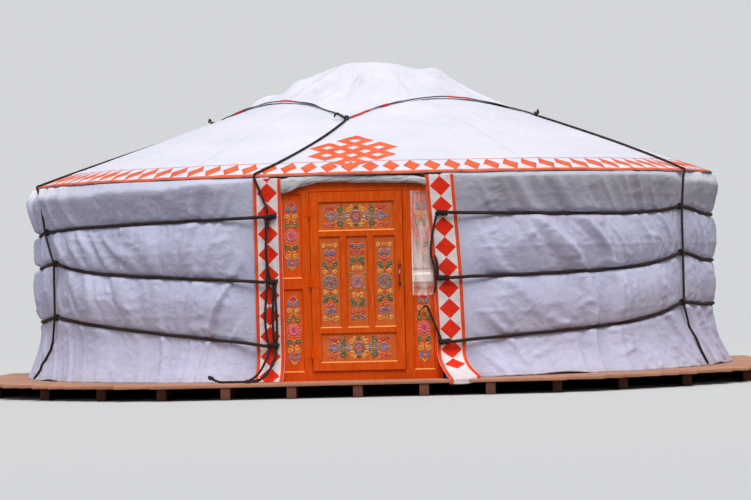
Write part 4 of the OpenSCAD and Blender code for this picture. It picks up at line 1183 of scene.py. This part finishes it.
knot_turns, packed = 4.4, turn_pitch * 1.03
left_runs = [coil(knot_middle(-1, k), Vector((1, 0, 0.10 * (k - 1))), knot_turns, turn_r, packed, 0.8 * k)
             for k in range(3)]
edge = knot_length / 2 - rope_radius - 0.001
low, mid, top = (knot_middle(-1, k) for k in range(3))
left_runs += [hung(at(top, -edge, 0, -0.01), at(mid, -0.010, 0, 0.01), -0.014, 0.004, 0.006),
              hung(at(top, -0.010, 0, -0.01), at(mid, -edge, 0, 0.01), -0.014, 0.026, -0.005),
              hung(at(mid, -edge, 0, -0.01), at(low, -edge, 0, 0.01), -0.020, 0.004, 0.004),
              hung(at(mid, 0.012, 0, -0.01), at(low, 0.012, 0, 0.01), -0.010, 0.004, 0.003),
              hung(at(mid, 0.028, 0, -0.01), at(low, 0.028, 0, 0.01), 0.004, 0.008, -0.003)]
left_ties = rope_mesh("left_knots", left_runs, rope_radius, step=0.006, sides=10)
stub_runs = [[at(low, x, 0, 0), at(low, x, 0, -0.02), at(low, end_x, 0, -0.0375)]
             for x, end_x in ((-0.035, -0.035), (0.013, 0.013), (0.027, 0.024))]
stubs = rope_mesh("tail_starts", stub_runs, rope_radius, step=0.006, sides=10)
right_runs = [coil(knot_middle(1, k), Vector((1, 0, 0.08 * (1 - k))), knot_turns, turn_r, packed,
                   1.1 + 0.9 * k) for k in range(3)]
low, mid, top = (knot_middle(1, k) for k in range(3))
top, mid, low = at(top, -0.030, 0, 0), at(mid, -0.040, 0, 0), at(low, -0.020, 0, 0)
nail = at(low + (mid - low) * 0.57, -.100, 0, 0)
finish = at(mid + (low - mid) * 0.23, -.035, 0, 0)
drop = mid - top
right_runs += [
    [top, at(top + drop * 0.12, -.020, -.006, 0), at(top + drop * 0.35, -.044, -.008, 0),
     at(top + drop * 0.62, -.056, -.008, 0), at(top + drop * 0.88, -.023, -.008, 0),
     at(mid, -.020, -.008, 0), at(mid + (finish - mid) * 0.5, -.006, -.004, 0), finish],
    [mid, at(mid - drop * 0.12, -.002, -.006, 0), at(mid - drop * 0.25, -.008, -.008, 0),
     at(mid - drop * 0.35, -.027, -.006, 0)],
    [low, at(low + (nail - low) * 0.28, 0, -.004, 0), at(low + (nail - low) * 0.66, 0, -.004, 0),
     at(nail, .006, -.002, -.020), at(nail, -.008, 0, -.004), at(nail, -.024, 0, -.008)]]
right_ties = rope_mesh("right_knots", right_runs, rope_radius, step=0.006, sides=10)
thin_end = rope_mesh("right_thin_end", [[at(nail, -.014, 0, -.006), at(nail, -.042, 0, -.020),
                                         at(nail, -.062, 0, -.050), at(nail, -.068, 0, -.080)]],
                     0.5 * rope_radius, step=0.006, sides=8)

# Hitches where a tie-down crosses a girth rope, and knots at the cover's corners
hitches = []
for tie in tie_downs:
    for k in range(3):
        angle = tie_angle(tie, girth_z(k, tie[1][1]))
        angle = tie_angle(tie, girth_z(k, angle))
        hitches.append(coil(polar(girth_r + 0.012, angle, girth_z(k, angle)), polar(1, angle + 90, 0),
                            1.6, 0.0225, 0.014, 0.4 * k))
corners = []
for angle, reach, tail in ((-5, 1.582, -0.7), (82.5, 1.448, 1), (172.5, 1.448, 1), (262.5, 1.448, 1)):
    place = polar(reach, angle, roof_top(reach) + 0.022)
    outward = polar(1, angle, -0.33)
    corners.append(coil(place, outward, 2.2, 0.014, 0.016, 0.5))
    aside = Vector((0, 0, 1)).cross(outward).normalized() * tail
    corners.append([place] + [at(place + aside * far, 0, 0, up) for far, up in (
        (0.05, 0.012), (0.10, 0.040), (0.135, 0.030), (0.145, 0.006))])
hitch = rope_mesh("rope_hitches", hitches + corners, 0.009, step=0.008, sides=8)
for piece, replaced in ((girth, "girth_ropes"), (tie_down, "tie_down_ropes"), (left_ties, "door_ties_left"),
                        (right_ties, "door_ties_right"), (stubs, None), (thin_end, None), (hitch, None)):
    piece.data.materials.append(hair_rope)
    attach(piece, "root")
    if replaced:
        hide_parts(replaced)


# Door strips and valance
# Two long strips of printed canvas hide the joints between frame and wall:
# red diamonds between two orange stripes. Both curl forward at the foot, the
# right one over the deck's edge. Above the door the wall canvas is rolled up.
strip_in, strip_bend, strip_out = 0.595, corner_x, 0.825
strip_back, strip_low, strip_rows = corner_y, 0.131, 190
stripe_middle, diamond_start, diamond_pitch = 0.115, 0.030, 0.164


def fullest_canvas(x, z):
    """How far forward the wall canvas stands beside the door at its fullest."""
    angle = math.degrees(math.atan(x / strip_back))
    t = min(1, max(0, (z - deck_top) / (canvas_head - deck_top)))
    ropes = [girth_z(k, angle) for k in range(3)]
    if z < ropes[0]:
        swell = 0.122 * (1 - max(0, z - deck_top) / (ropes[0] - deck_top)) ** 1.8
    elif z < ropes[2]:
        k = 0 if z < ropes[1] else 1
        swell = 0.052 * math.sin(math.pi * (z - ropes[k]) / (ropes[k + 1] - ropes[k]))
    else:
        swell = 0.100
    swell = slack(angle) * max(0.072, swell)
    taut = math.radians(canvas_taut)
    return (pinch_r + swell - x * math.sin(taut)) / math.cos(taut)


def strip_curl(z):
    """How far a strip curls forward: 0 up its length, 1 at its foot."""
    return max(0, min(1, 1 - (z - strip_low) / 0.22)) ** 2


nodes, place = begin_material("printed_strip_cloth", "UV")
cloth = place_group(nodes, "woven_cloth", Place=place)
u, v, _ = nodes.xyz(place)
ground = nodes.mottled(cloth["Cloud"], rgb(238, 228, 230), rgb(224, 210, 214))
aside = nodes.over(nodes.apart(u, stripe_middle), 0.083)
along = nodes.apart(nodes.math("FRACT", nodes.over(nodes.minus(v, diamond_start), diamond_pitch)), 0.5)
along = nodes.over(nodes.times(along, diamond_pitch), 0.0815)
fray = nodes.times(nodes.minus(nodes.noise(place, 90, 2, 0.6), 0.5), 0.05)
shape = nodes.plus(nodes.plus(aside, along), fray)
diamond = nodes.times(nodes.span(shape, 1.012, 0.988), nodes.math("GREATER_THAN", v, diamond_start))
edge = nodes.plus(nodes.apart(u, stripe_middle), nodes.times(fray, 0.01))
stripe = nodes.times(nodes.span(edge, 0.0845, 0.0855), nodes.span(edge, 0.1135, 0.1125))
dye = nodes.noise(place, 7, 4, 0.6)
red = nodes.mottled(dye, rgb(242, 48, 10), rgb(222, 34, 8))
orange = nodes.mottled(dye, rgb(238, 84, 30), rgb(220, 62, 20))
color = nodes.mix(diamond, ground, red)
color = nodes.mix(stripe, color, orange)
# Creases darkened: painted shade
color = nodes.mix(nodes.span(cloth["Creases"], 0.7, 1.2, 0, 0.12), color, rgb(150, 90, 90))
height = nodes.plus(nodes.times(cloth["Creases"], 0.6), nodes.times(cloth["Weave"], 0.12))
strip_cloth = finish_material("printed_strip_cloth", color, 0.8, height, 0.0010, sheen_weight=0.05,
                              specular_ior_level=0.2)

# The right strip's foot hangs over the deck's edge in the lowest rows
foot_share = 0.04
for side, reach, hang in ((-1, strip_back + 0.060, 0), (1, 3.256, 0.040)):

    def strip_share(share_x, share_y):
        across = share_x if side > 0 else 1 - share_x
        if hang and share_y < foot_share:
            z = deck_top - hang + (strip_low - deck_top + hang) * share_y / foot_share
        else:
            part = (share_y - foot_share) / (1 - foot_share) if hang else share_y
            z = strip_low + (canvas_head - 0.010 - strip_low) * part ** 1.25
        x = strip_in + (strip_out - strip_in) * across
        if hang:
            x += float(numpy.interp(z, (0.13, 0.40, 0.98, 1.77), (0.024, 0.029, 0.012, -0.038)))
        behind = strip_back
        if x > strip_bend - 0.012:
            soft = smooth_step(x, strip_bend - 0.012, strip_bend + 0.015)
            behind += soft * (fullest_canvas(max(x, strip_bend), z) + 0.0045 - strip_back)
        curl = strip_curl(z)
        wave = 0.0028 * wander(x * 9, z * 5, 160 + side) + 0.0022 * ridge(x * 7, z * 11, 164 + side, 0.2)
        y = behind + (reach - behind) * curl + 0.003 + max(0, wave + 0.001)
        spread = x + 0.3 * (reach - strip_back) * curl
        if hang:
            foot = bell(z - 0.110, 0.09)
            y -= 0.022 * foot * smooth_step(across, 0.35, 1.0)
            spread += 0.018 * foot * across
            z += 0.022 * foot * smooth_step(across, 0.45, 1.0) * (share_y < 0.3)
            y += 0.004 * math.sin(across * 9) * foot
        if z < canvas_head - 0.02:
            y += 0.0012 * math.sin(z * 31 + side)
        return Vector((side * spread, -y, z)), (0.230 * across, lengths.get(round(share_y * strip_rows), 0))

    # The pattern keeps its size where the cloth curls: v is the length along it
    lengths = {}
    spine = [strip_share(0.5, j / strip_rows)[0] for j in range(strip_rows + 1)]
    lengths[0] = -0.243 if hang else 0.064
    for j in range(1, strip_rows + 1):
        lengths[j] = lengths[j - 1] + (spine[j] - spine[j - 1]).length

    strip = grid_sheet(f"door_strip_{'right' if side > 0 else 'left'}_cloth", 28, strip_rows, strip_share)
    thicken(strip, canvas_depth)
    strip.data.materials.append(strip_cloth)
    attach(strip, "root")
    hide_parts(f"door_strip_{'right' if side > 0 else 'left'}")

# The roll over the door: one cylinder, drawn out along the head and wrung
roll_half, roll_r, roll_parts = 0.582, 0.023, 128
bpy.ops.mesh.primitive_cylinder_add(vertices=32, radius=roll_r, depth=2 * roll_half, end_fill_type="NGON",
                                    rotation=(0, math.pi / 2, 0), location=(0, 0, 0))
valance = bpy.context.object
valance.name = "rolled_valance"
bpy.ops.object.transform_apply(location=True, rotation=True, scale=True)
bpy.ops.object.mode_set(mode="EDIT")
for i in range(1, roll_parts):
    bpy.ops.mesh.select_all(action="SELECT")
    bpy.ops.mesh.bisect(plane_co=(-roll_half + 2 * roll_half * i / roll_parts, 0, 0), plane_no=(1, 0, 0))
bpy.ops.object.mode_set(mode="OBJECT")
for vertex in valance.data.vertices:
    x, y, z = vertex.co
    t = x / roll_half
    around = math.atan2(z, y)
    r = math.hypot(y, z) / roll_r
    sway = 1.6 * wander(x * 4, 0, 172)
    wrung = (0.5 + 0.5 * math.sin(x * 34 + around * 1.5 + sway)) ** 2
    r *= 1 - 0.20 * wrung * (0.6 + wander(x * 6, 3, 175))
    r *= 1 - 0.20 * ridge(x * 11 + around * 1.1, math.sin(around), 170, 0.15)
    r *= 1 - 0.25 * smooth_step(abs(t), 0.985, 1)
    flap = 0.034 * smooth_step(-t, 0.45, 1.0)
    droop = 0.012 * abs(t) ** 3 if t < 0 else 0.036 * t ** 6
    middle = canvas_head - 0.030 - flap - droop - 0.008 * math.sin(3 * t)
    vertex.co = (x - 0.014, -2.9135 + 0.0245 * r * math.cos(around),
                 middle + (0.032 + flap) * r * math.sin(around))
bpy.ops.mesh.customdata_custom_splitnormals_clear()
valance.data.shade_smooth()
nodes, place = begin_material("rolled_canvas")
cloth = place_group(nodes, "woven_cloth", Place=place)
color = nodes.mottled(cloth["Cloud"], rgb(206, 204, 208), rgb(184, 182, 188))
# Creases darkened: painted shade
color = nodes.mix(nodes.span(cloth["Creases"], 0.6, 1.2, 0, 0.3), color, rgb(140, 138, 146))
rolled_cloth = finish_material("rolled_canvas", color, 0.85, cloth["Creases"], 0.0015, sheen_weight=0.15)
valance.data.materials.clear()
valance.data.materials.append(rolled_cloth)
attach(valance, "root")
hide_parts("door_valance")


# Door frame and leaf
# Frame and leaf are pine, joined with tenons and painted a strong orange; the
# leaf's panels behind their bevelled openings are a browner salmon. The frame
# is redder beside the strips, all is darker near the floor, and ledges that face
# up carry a painted highlight.
def door_paint(name, tint, warm, streaks):
    """Brushed paint that is darker low down, redder at the frame's sides by its warmth, and paler on ledges
    that face up, a painted highlight.
    """
    nodes, place = begin_material(name)
    paint = place_group(nodes, "brushed_paint", Place=place, Colour=(*tint, 1), Streaks=streaks)
    x, _, z = nodes.xyz(place)
    low = nodes.span(z, 0.35, 0.13, 0, 0.22)
    color = nodes.mix(low, paint["Colour"], (0.30, 0.07, 0.015), "MULTIPLY")
    beside = nodes.span(nodes.math("ABSOLUTE", x), 0.40, 0.66, 0, warm)
    color = nodes.mix(beside, color, rgb(222, 52, 8))
    # Ledges that face up are painted pale: a painted highlight where light from above falls on them
    facing_up = nodes.xyz(nodes.add("ShaderNodeNewGeometry").outputs["Normal"])[2]
    color = nodes.mix(nodes.span(facing_up, 0.35, 0.7, 0, 0.62), color, rgb(255, 196, 120))
    return finish_material(name, color, paint["Roughness"], paint["Height"], 0.0004,
                           specular_ior_level=0.08)


leaf_orange = rgb(230, 84, 1)
dress("door_frame", door_paint("frame_orange_paint", rgb(228, 83, 1), 0.4, (70, 70, 6)))
dress("door_leaf", door_paint("leaf_orange_paint", leaf_orange, 0.0, (60, 60, 7)))
side_paint = door_paint("side_panel_paint", rgb(236, 84, 14), 0.0, (40, 40, 8))
dress("side_panels_left", side_paint)
dress("side_panels_right", side_paint)
dress("leaf_panels", door_paint("leaf_panel_paint", rgb(220, 104, 44), 0.0, (40, 40, 8)))

# Ironwork: painted hinges, and a dark pull worn bright where it is held; the pale patch there is partly a
# painted highlight
nodes, place = begin_material("painted_hinge_iron")
scuff = nodes.noise(place, 60, 5, 0.65)
color = nodes.mix(nodes.span(scuff, 0.56, 0.72, 0, 0.4), leaf_orange, rgb(160, 62, 20))
hinge_iron = finish_material("painted_hinge_iron", color, nodes.span(scuff, 0.3, 0.7, 0.5, 0.7), scuff,
                             0.0004, specular_ior_level=0.08)
nodes, place = begin_material("worn_highlit_pull_iron")
grip_height = 0.985
z = nodes.xyz(place)[2]
# Pale metal near the grip: wear, and a painted highlight
wear_and_highlight = nodes.times(nodes.noise(place, 120, 4, 0.6), nodes.span(nodes.apart(z, grip_height), 0.05, 0.0))
color = nodes.mix(nodes.span(wear_and_highlight, 0.3, 0.5), rgb(66, 36, 26), rgb(190, 184, 178))
pull_iron = finish_material("worn_highlit_pull_iron", color, nodes.span(wear_and_highlight, 0.3, 0.5, 0.45, 0.3), wear_and_highlight, 0.0003)
dress("hinge_frame_halves", hinge_iron)
dress("hinge_leaf_halves", hinge_iron)
dress("pull_handle", pull_iron)


# Painted door ornament
# Flowers, scrolls and medallions in the steppe manner fill every panel. Each
# brush stroke is a curve with its own width, drawn for one half or quarter and
# mirrored, then flattened to a coat of paint over a paler outline.
tints = {"red": rgb(212, 40, 34), "pink": rgb(238, 92, 132), "orange": rgb(250, 164, 44),
         "olive": rgb(112, 124, 52), "green": rgb(44, 92, 58), "blue": rgb(112, 126, 160),
         "purple": rgb(118, 72, 122), "brown": rgb(150, 84, 62), "outline": rgb(246, 186, 150)}
strokes = {"leaf": [], "side": []}
# Which mirror images of a stroke are drawn, across and up
once, both, upright = ((1, 1),), ((1, 1), (-1, 1)), ((1, 1), (1, -1))
four = (*both, (1, -1), (-1, -1))


def draw(panel, tint, line, flips=both):
    """Adds a stroke and its mirror images, in mm (across, up, half width) from a panel's middle."""
    group_name, middle_x, middle_z = panel
    for flip_x, flip_z in flips:
        drawn = [(middle_x + flip_x * x / 1000, middle_z + flip_z * z / 1000, w / 1000) for x, z, w in line]
        strokes[group_name].append((tint, drawn))


def scroll(x, z, size, start, turns, width=3.4):
    """A scroll whose eye lies at x, z: thin at its tail, full at the eye."""
    line = []
    count = max(8, round(11 * abs(turns)))
    for i in range(count + 1):
        t = i / count
        a = math.radians(start) + 2 * math.pi * turns * t
        r = size * (1 - 0.80 * t ** 1.1)
        w = width * (0.30 + 0.85 * math.sin(math.pi * (0.1 + 0.62 * t)))
        line.append((x + r * math.cos(a), z + r * math.sin(a), w))
    return line


def petal(x, z, length, heading, width):
    """One tapered stroke that starts at x, z."""
    a = math.radians(heading)
    line = []
    for t in (0, 0.15, 0.35, 0.6, 0.82, 1):
        w = width * max(0.12, math.sin(math.pi * t) ** 0.7)
        line.append((x + length * t * math.cos(a), z + length * t * math.sin(a), w))
    return line


def ring(x, z, radius, width, lobes=0, depth=0.0):
    """A closed ring, round or lobed."""
    line = []
    for i in range(25 + 2 * lobes):
        a = 2 * math.pi * i / (24 + 2 * lobes)
        r = radius * (1 + depth * math.cos(lobes * a))
        line.append((x + r * math.cos(a), z + r * math.sin(a), width))
    return line


def blossom(panel, x, z, size, petals, tint, heart, flips=once):
    """A round flower: an outer wreath of petals, an inner one and a heart."""
    for i in range(petals):
        a = 360 * i / petals
        foot_x = x + 0.34 * size * math.cos(math.radians(a))
        foot_z = z + 0.34 * size * math.sin(math.radians(a))
        draw(panel, tint, petal(foot_x, foot_z, 0.62 * size, a, 0.20 * size), flips)
    for i in range(petals - 2):
        a = 360 * (i + 0.5) / (petals - 2)
        draw(panel, heart, petal(x, z, 0.42 * size, a, 0.11 * size), flips)
    draw(panel, "outline", ring(x, z, 0.10 * size, 0.05 * size), flips)


def medallion(panel, radius, rim, field, heart):
    """A round medallion: a beaded rim, a ring of spirals and a whorl in the middle."""
    draw(panel, rim, ring(0, 0, radius, 3.0), once)
    draw(panel, field, ring(0, 0, radius * 0.80, 2.4), once)
    for i in range(8):
        a = math.radians(45 * i + 22.5)
        x, z = 0.56 * radius * math.cos(a), 0.56 * radius * math.sin(a)
        draw(panel, rim if i % 2 else field, scroll(x, z, 0.20 * radius, 45 * i, 1.1, 2.2), once)
        draw(panel, heart, petal(x * 1.95, z * 1.95, 0.12 * radius, 45 * i + 22.5, 2.6), once)
    for i in range(3):
        draw(panel, heart, scroll(0, 0, 0.34 * radius, 120 * i, 0.55, 3.0), once)


def side_ornament(panel):
    """A side panel: a flower in the middle, and scrolls above and below it."""
    for flip, up in ((both, True), (((1, -1), (-1, -1)), False)):
        # Pointed tip, then three pairs of scrolls down to the flower
        draw(panel, "red" if up else "orange", [(0, 272, 2), (7, 262, 5), (14, 252, 6), (8, 244, 4)], flip)
        draw(panel, "pink" if up else "red",
             [(0, 279, 1.6), (14, 268, 2.0), (26, 254, 2.2), (38, 246, 2.0), (44, 236, 1.6)], flip)
        draw(panel, "blue", scroll(26, 222, 20, 100, -1.25, 4.2), flip)
        draw(panel, "purple", scroll(22, 194, 15, 250, 1.1, 3.6), flip)
        draw(panel, "blue", petal(48, 206, 22, 130, 4.5), flip)
        draw(panel, "outline", petal(4, 206, 20, 90, 2.2), flip)
        draw(panel, "orange", scroll(30, 160, 20, 80, -1.2, 4.4), flip)
        draw(panel, "orange", [(6, 182, 2), (12, 160, 4), (10, 138, 4.6), (20, 122, 4), (34, 124, 2)], flip)
        draw(panel, "red", petal(46, 132, 18, 60, 3.6), flip)
        draw(panel, "outline", [(18, 176, 1.2), (34, 182, 1.5), (50, 172, 1.5), (54, 156, 1.0)], flip)
        draw(panel, "olive" if up else "green", scroll(32, 90, 22, 70, -1.3, 4.8), flip)
        draw(panel, "green", [(8, 118, 2), (14, 98, 4.4), (22, 78, 5), (40, 66, 4), (52, 74, 2)], flip)
        draw(panel, "olive", petal(50, 106, 20, 110, 4), flip)
        draw(panel, "orange", petal(6, 70, 24, 75, 3.2), flip)
        draw(panel, "green", petal(40, 50, 18, 20, 4), flip)
    blossom(panel, 0, 0, 50, 11, "pink", "red")
    draw(panel, "outline", ring(0, 0, 53, 1.3, 11, 0.03), once)


def wide_ornament(panel):
    """A wide panel at the leaf's head or foot."""
    # The lobed medallion in the middle, with scrolls at its corners
    draw(panel, "brown", ring(0, 0, 34, 6, 6, 0.10), once)
    draw(panel, "pink", ring(0, 0, 20, 4, 6, 0.12), once)
    draw(panel, "blue", ring(0, 0, 44, 2.4, 6, 0.08), once)
    for i in range(6):
        draw(panel, "brown", petal(0, 0, 15, 60 * i, 4), once)
    draw(panel, "green", petal(0, 56, 34, 90, 8), upright)
    draw(panel, "green", petal(4, 58, 28, 40, 4.5), four)
    draw(panel, "orange", scroll(56, 44, 24, 180, -1.3, 4.6), four)
    draw(panel, "orange", scroll(34, 76, 15, 200, 1.1, 3.8), four)
    draw(panel, "orange", petal(50, 4, 30, 20, 4.4), four)
    draw(panel, "blue", scroll(84, 18, 15, 140, 1.2, 3.8), four)
    draw(panel, "purple", petal(72, 2, 34, 8, 4.2), four)
    draw(panel, "outline", [(60, 0, 1.6), (84, 0, 3.0), (112, 0, 1.4)], both)
    # Green clusters, then blue spirals and red scrolls toward the corners
    draw(panel, "green", scroll(128, 52, 26, 250, -1.35, 5.4), four)
    draw(panel, "olive", scroll(126, 22, 20, 110, 1.2, 4.6), four)
    draw(panel, "green", petal(112, 74, 24, 80, 6), four)
    draw(panel, "blue", scroll(152, 10, 14, 0, 1.2, 3.6), four)
    draw(panel, "outline", scroll(104, 40, 12, 30, 1.0, 1.6), four)
    draw(panel, "pink", petal(150, 34, 22, 30, 4.6), four)
    draw(panel, "blue", scroll(196, 20, 20, 200, 1.35, 4.6), four)
    draw(panel, "purple", scroll(224, 10, 12, 170, -1.1, 3.4), four)
    draw(panel, "blue", petal(214, 0, 38, 12, 4.0), four)
    draw(panel, "outline", [(178, 0, 1.4), (206, 0, 2.6), (238, 0, 1.2)], both)
    draw(panel, "red", scroll(196, 66, 20, 330, 1.25, 4.8), four)
    draw(panel, "red", scroll(234, 72, 14, 210, -1.15, 4.0), four)
    draw(panel, "pink", petal(170, 78, 26, 150, 4.4), four)
    draw(panel, "pink", petal(246, 46, 24, 75, 4.0), four)
    draw(panel, "orange", petal(174, 50, 22, 200, 3.8), four)


def tall_ornament(panel, middle):
    """A tall panel in the leaf's middle row, the middle one or one beside it."""
    if middle:
        draw(panel, "brown", scroll(20, 278, 18, 90, 1.2, 4.4), four)
        draw(panel, "purple", scroll(46, 290, 14, 300, -1.2, 3.8), four)
        draw(panel, "blue", petal(8, 296, 36, 10, 4.4), four)
        draw(panel, "red", scroll(34, 240, 20, 200, 1.3, 5.0), four)
        draw(panel, "red", petal(0, 226, 34, 90, 7), upright)
        draw(panel, "pink", petal(12, 222, 30, 30, 4.6), four)
        draw(panel, "green", scroll(32, 178, 22, 100, -1.3, 5.2), four)
        draw(panel, "green", scroll(44, 146, 15, 250, 1.2, 4.6), four)
        draw(panel, "olive", [(4, 206, 2), (12, 186, 4.6), (10, 160, 4.6), (20, 144, 2.4)], four)
        draw(panel, "orange", petal(0, 88, 46, 90, 8), upright)
        draw(panel, "orange", scroll(30, 104, 20, 60, 1.3, 4.8), four)
        draw(panel, "red", petal(10, 84, 34, 50, 5), four)
        draw(panel, "olive", scroll(56, 62, 12, 200, -1.1, 4.0), four)
        draw(panel, "orange", petal(52, 42, 22, 70, 4.4), four)
        medallion(panel, 50, "blue", "pink", "brown")
        return
    draw(panel, "orange", scroll(46, 290, 18, 110, -1.25, 4.6), four)
    draw(panel, "orange", petal(20, 282, 30, 130, 4.6), four)
    draw(panel, "olive", petal(0, 262, 36, 90, 7), upright)
    draw(panel, "outline", [(8, 296, 1.2), (26, 304, 1.6), (44, 312, 1.0)], four)
    draw(panel, "blue", scroll(28, 236, 20, 60, 1.3, 4.8), four)
    draw(panel, "purple", petal(4, 214, 40, 58, 7), four)
    draw(panel, "purple", petal(10, 212, 30, 12, 4.4), four)
    for flip in upright:
        blossom(panel, 0, 184, 25, 7, "red", "pink", (flip,))
    draw(panel, "pink", petal(26, 178, 28, 60, 4.6), four)
    draw(panel, "green", scroll(40, 146, 20, 80, -1.3, 5.0), four)
    draw(panel, "green", scroll(20, 120, 16, 250, 1.2, 4.4), four)
    draw(panel, "olive", petal(44, 112, 24, 330, 5), four)
    draw(panel, "orange", scroll(40, 82, 18, 240, 1.3, 4.6), four)
    draw(panel, "red", petal(0, 72, 30, 90, 6), upright)
    draw(panel, "orange", petal(14, 70, 26, 60, 4.4), four)
    medallion(panel, 54, "blue", "green", "brown")
    draw(panel, "purple", ring(0, 0, 20, 2.2), once)


# The leaf's foot rail, panels and mid rails, and their middles, in mm; then the
# same for the side panels, in metres
leaf_low = deck_top + 0.078
foot_rail, low_panel, mid_rail, tall_panel, top_panel = 72, 220, 58, 716, 218
low_row = foot_rail + low_panel / 2
tall_row = foot_rail + low_panel + mid_rail + tall_panel / 2
top_row = foot_rail + low_panel + mid_rail + tall_panel + mid_rail + top_panel / 2
wide_ornament(("leaf", 0, leaf_low + low_row / 1000))
wide_ornament(("leaf", 0, leaf_low + top_row / 1000))
for k in (-1, 0, 1):
    tall_ornament(("leaf", k * 0.2187, leaf_low + tall_row / 1000), k == 0)
side_x, sill, lower_panel, side_rail, upper_panel = 0.522, 0.080, 0.650, 0.100, 0.660
for side in (-1, 1):
    for middle_z in (sill + lower_panel / 2, sill + lower_panel + side_rail + upper_panel / 2):
        side_ornament(("side", side * side_x, deck_top + middle_z))


def painted_strokes(name, lines, tint, widen, lift, face):
    """One curve with every stroke of a colour, made a mesh and pressed flat on its panel."""
    bpy.ops.curve.primitive_bezier_curve_add(location=(0, 0, 0))
    drawing = bpy.context.object
    drawing.name = name
    curve = drawing.data
    curve.splines.clear()
    curve.twist_mode = "Z_UP"
    curve.bevel_depth = 1
    curve.bevel_resolution = 0
    curve.use_fill_caps = True
    for line in lines:
        spline = curve.splines.new("POLY")
        spline.points.add(len(line) - 1)
        for point, (x, z, width) in zip(spline.points, line):
            point.co = (x, z, 0, 1)
            point.radius = width * 1.22 + widen
    bpy.ops.object.convert(target="MESH")
    mesh = drawing.data
    for vertex in mesh.vertices:
        x, z, out = vertex.co
        vertex.co = (x, -(face + lift + 0.05 * out), z)
    colors = mesh.color_attributes.new("tint", "FLOAT_COLOR", "POINT")
    for item in colors.data:
        item.color = (*tint, 1)
    drawing.select_set(False)
    return drawing


nodes, place = begin_material("ornament_paint")
laid = nodes.add("ShaderNodeAttribute", attribute_name="tint")
brushed = nodes.noise(place, 60, 4, 0.6)
worn = nodes.span(nodes.noise(place, 14, 4, 0.7), 0.62, 0.72, 0, 0.55)
color = nodes.mix(nodes.span(brushed, 0.4, 0.7, 0, 0.30), laid.outputs["Color"], (0.95, 0.62, 0.42))
color = nodes.mix(worn, color, rgb(216, 96, 34))
ornament_paint = finish_material("ornament_paint", color, nodes.span(brushed, 0.3, 0.7, 0.35, 0.5), brushed,
                                 0.0002, specular_ior_level=0.3)
for group_name, face, rider in (("leaf", 2.889, "door_leaf"), ("side", 2.871, "root")):
    outlined = [line for tint, line in strokes[group_name] if tint != "outline"]
    parts = [painted_strokes(f"{group_name}_outlines", outlined, tints["outline"], 0.0013, 0.0005, face)]
    for tint in tints:
        lines = [line for kind, line in strokes[group_name] if kind == tint]
        if lines:
            parts.append(painted_strokes(f"{group_name}_{tint}", lines, tints[tint], 0, 0.0010, face))
    ornament = join_pieces(f"{group_name}_ornament", parts)
    ornament.data.shade_smooth()
    ornament.data.materials.append(ornament_paint)
    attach(ornament, rider)


# Film on the right side panel
# A clear packing film still clings to the upper right panel and the rail
# below it. It dips into the recess, turns milky toward its lower half and
# curls away at its torn end. A painted highlight runs down its left edge and
# over its flat stretch on the rail, and its two creases are painted shade.
film_low, film_high, film_left, film_right = 0.792, 1.628, 0.438, 0.606


def film_share(share_x, share_y):
    x = film_left + (film_right - film_left) * share_x
    z = film_low + (film_high - film_low) * share_y
    inside = smooth_step(x, 0.440, 0.462) * (1 - smooth_step(x, 0.580, 0.598))
    upper = smooth_step(z, 0.956, 0.975) * (1 - smooth_step(z, 1.600, 1.622))
    lower = 1 - smooth_step(z, 0.838, 0.860)
    y = 2.8866 - 0.0085 * inside * max(upper, 0.7 * lower)
    y += 0.0034 * inside * wander(x * 22, z * 4, 180) * max(upper, lower)
    y += 0.0020 * inside * ridge(x * 16, z * 9, 184, 0.2) * max(upper, lower)
    y += 0.012 * inside * (1 - smooth_step(z, 0.792, 0.826)) * (0.6 + wander(x * 30, 0, 188))
    z += 0.008 * wander(x * 26, 0.5, 190) * (1 - smooth_step(share_y, 0, 0.05))
    return Vector((x, -y, z)), (film_right - film_left - x, z - film_low)


film = grid_sheet("panel_film", 30, 150, film_share)
thicken(film, 0.0002)
nodes, place = begin_material("packing_film")
x, _, z = nodes.xyz(place)
cling = nodes.noise(place, 1, 4, 0.6, (30, 30, 5))
small = nodes.noise(place, 1, 3, 0.6, (60, 60, 45))
haze_and_glare = nodes.span(z, 1.48, 1.06, 0.02, 0.44)
haze_and_glare = nodes.plus(haze_and_glare, nodes.times(nodes.minus(cling, 0.5), 2.0))
# Painted highlight along the film's left edge
haze_and_glare = nodes.plus(haze_and_glare, nodes.span(nodes.apart(x, 0.4445), 0.007, 0.002, 0, 0.5))
# Painted reflection where the film lies flat over the rail
haze_and_glare = nodes.plus(haze_and_glare, nodes.span(nodes.apart(z, 0.948), 0.052, 0.040, 0, 0.35))
haze_and_glare = nodes.math("SUBTRACT", haze_and_glare, nodes.span(z, 0.902, 0.884, 0, 0.30), clamp=True)
# Two dark crease lines: painted shade
crease = nodes.math("MINIMUM", nodes.apart(z, 1.003), nodes.apart(z, 0.896))
crease = nodes.span(crease, 0.0055, 0.002, 0, 0.75)
milky = nodes.mix(small, (1, 0.90, 0.86), (0.98, 0.80, 0.74))
film_paint = finish_material("packing_film", nodes.mix(crease, milky, (0.30, 0.10, 0.05)), 0.14,
                             nodes.plus(cling, nodes.times(small, 0.3)), 0.006)
shader = film_paint.node_tree.nodes["Principled BSDF"]
nodes.put(shader.inputs["Alpha"], nodes.math("MAXIMUM", nodes.math("MAXIMUM", haze_and_glare, crease), 0.10))
film.data.materials.append(film_paint)
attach(film, "root")
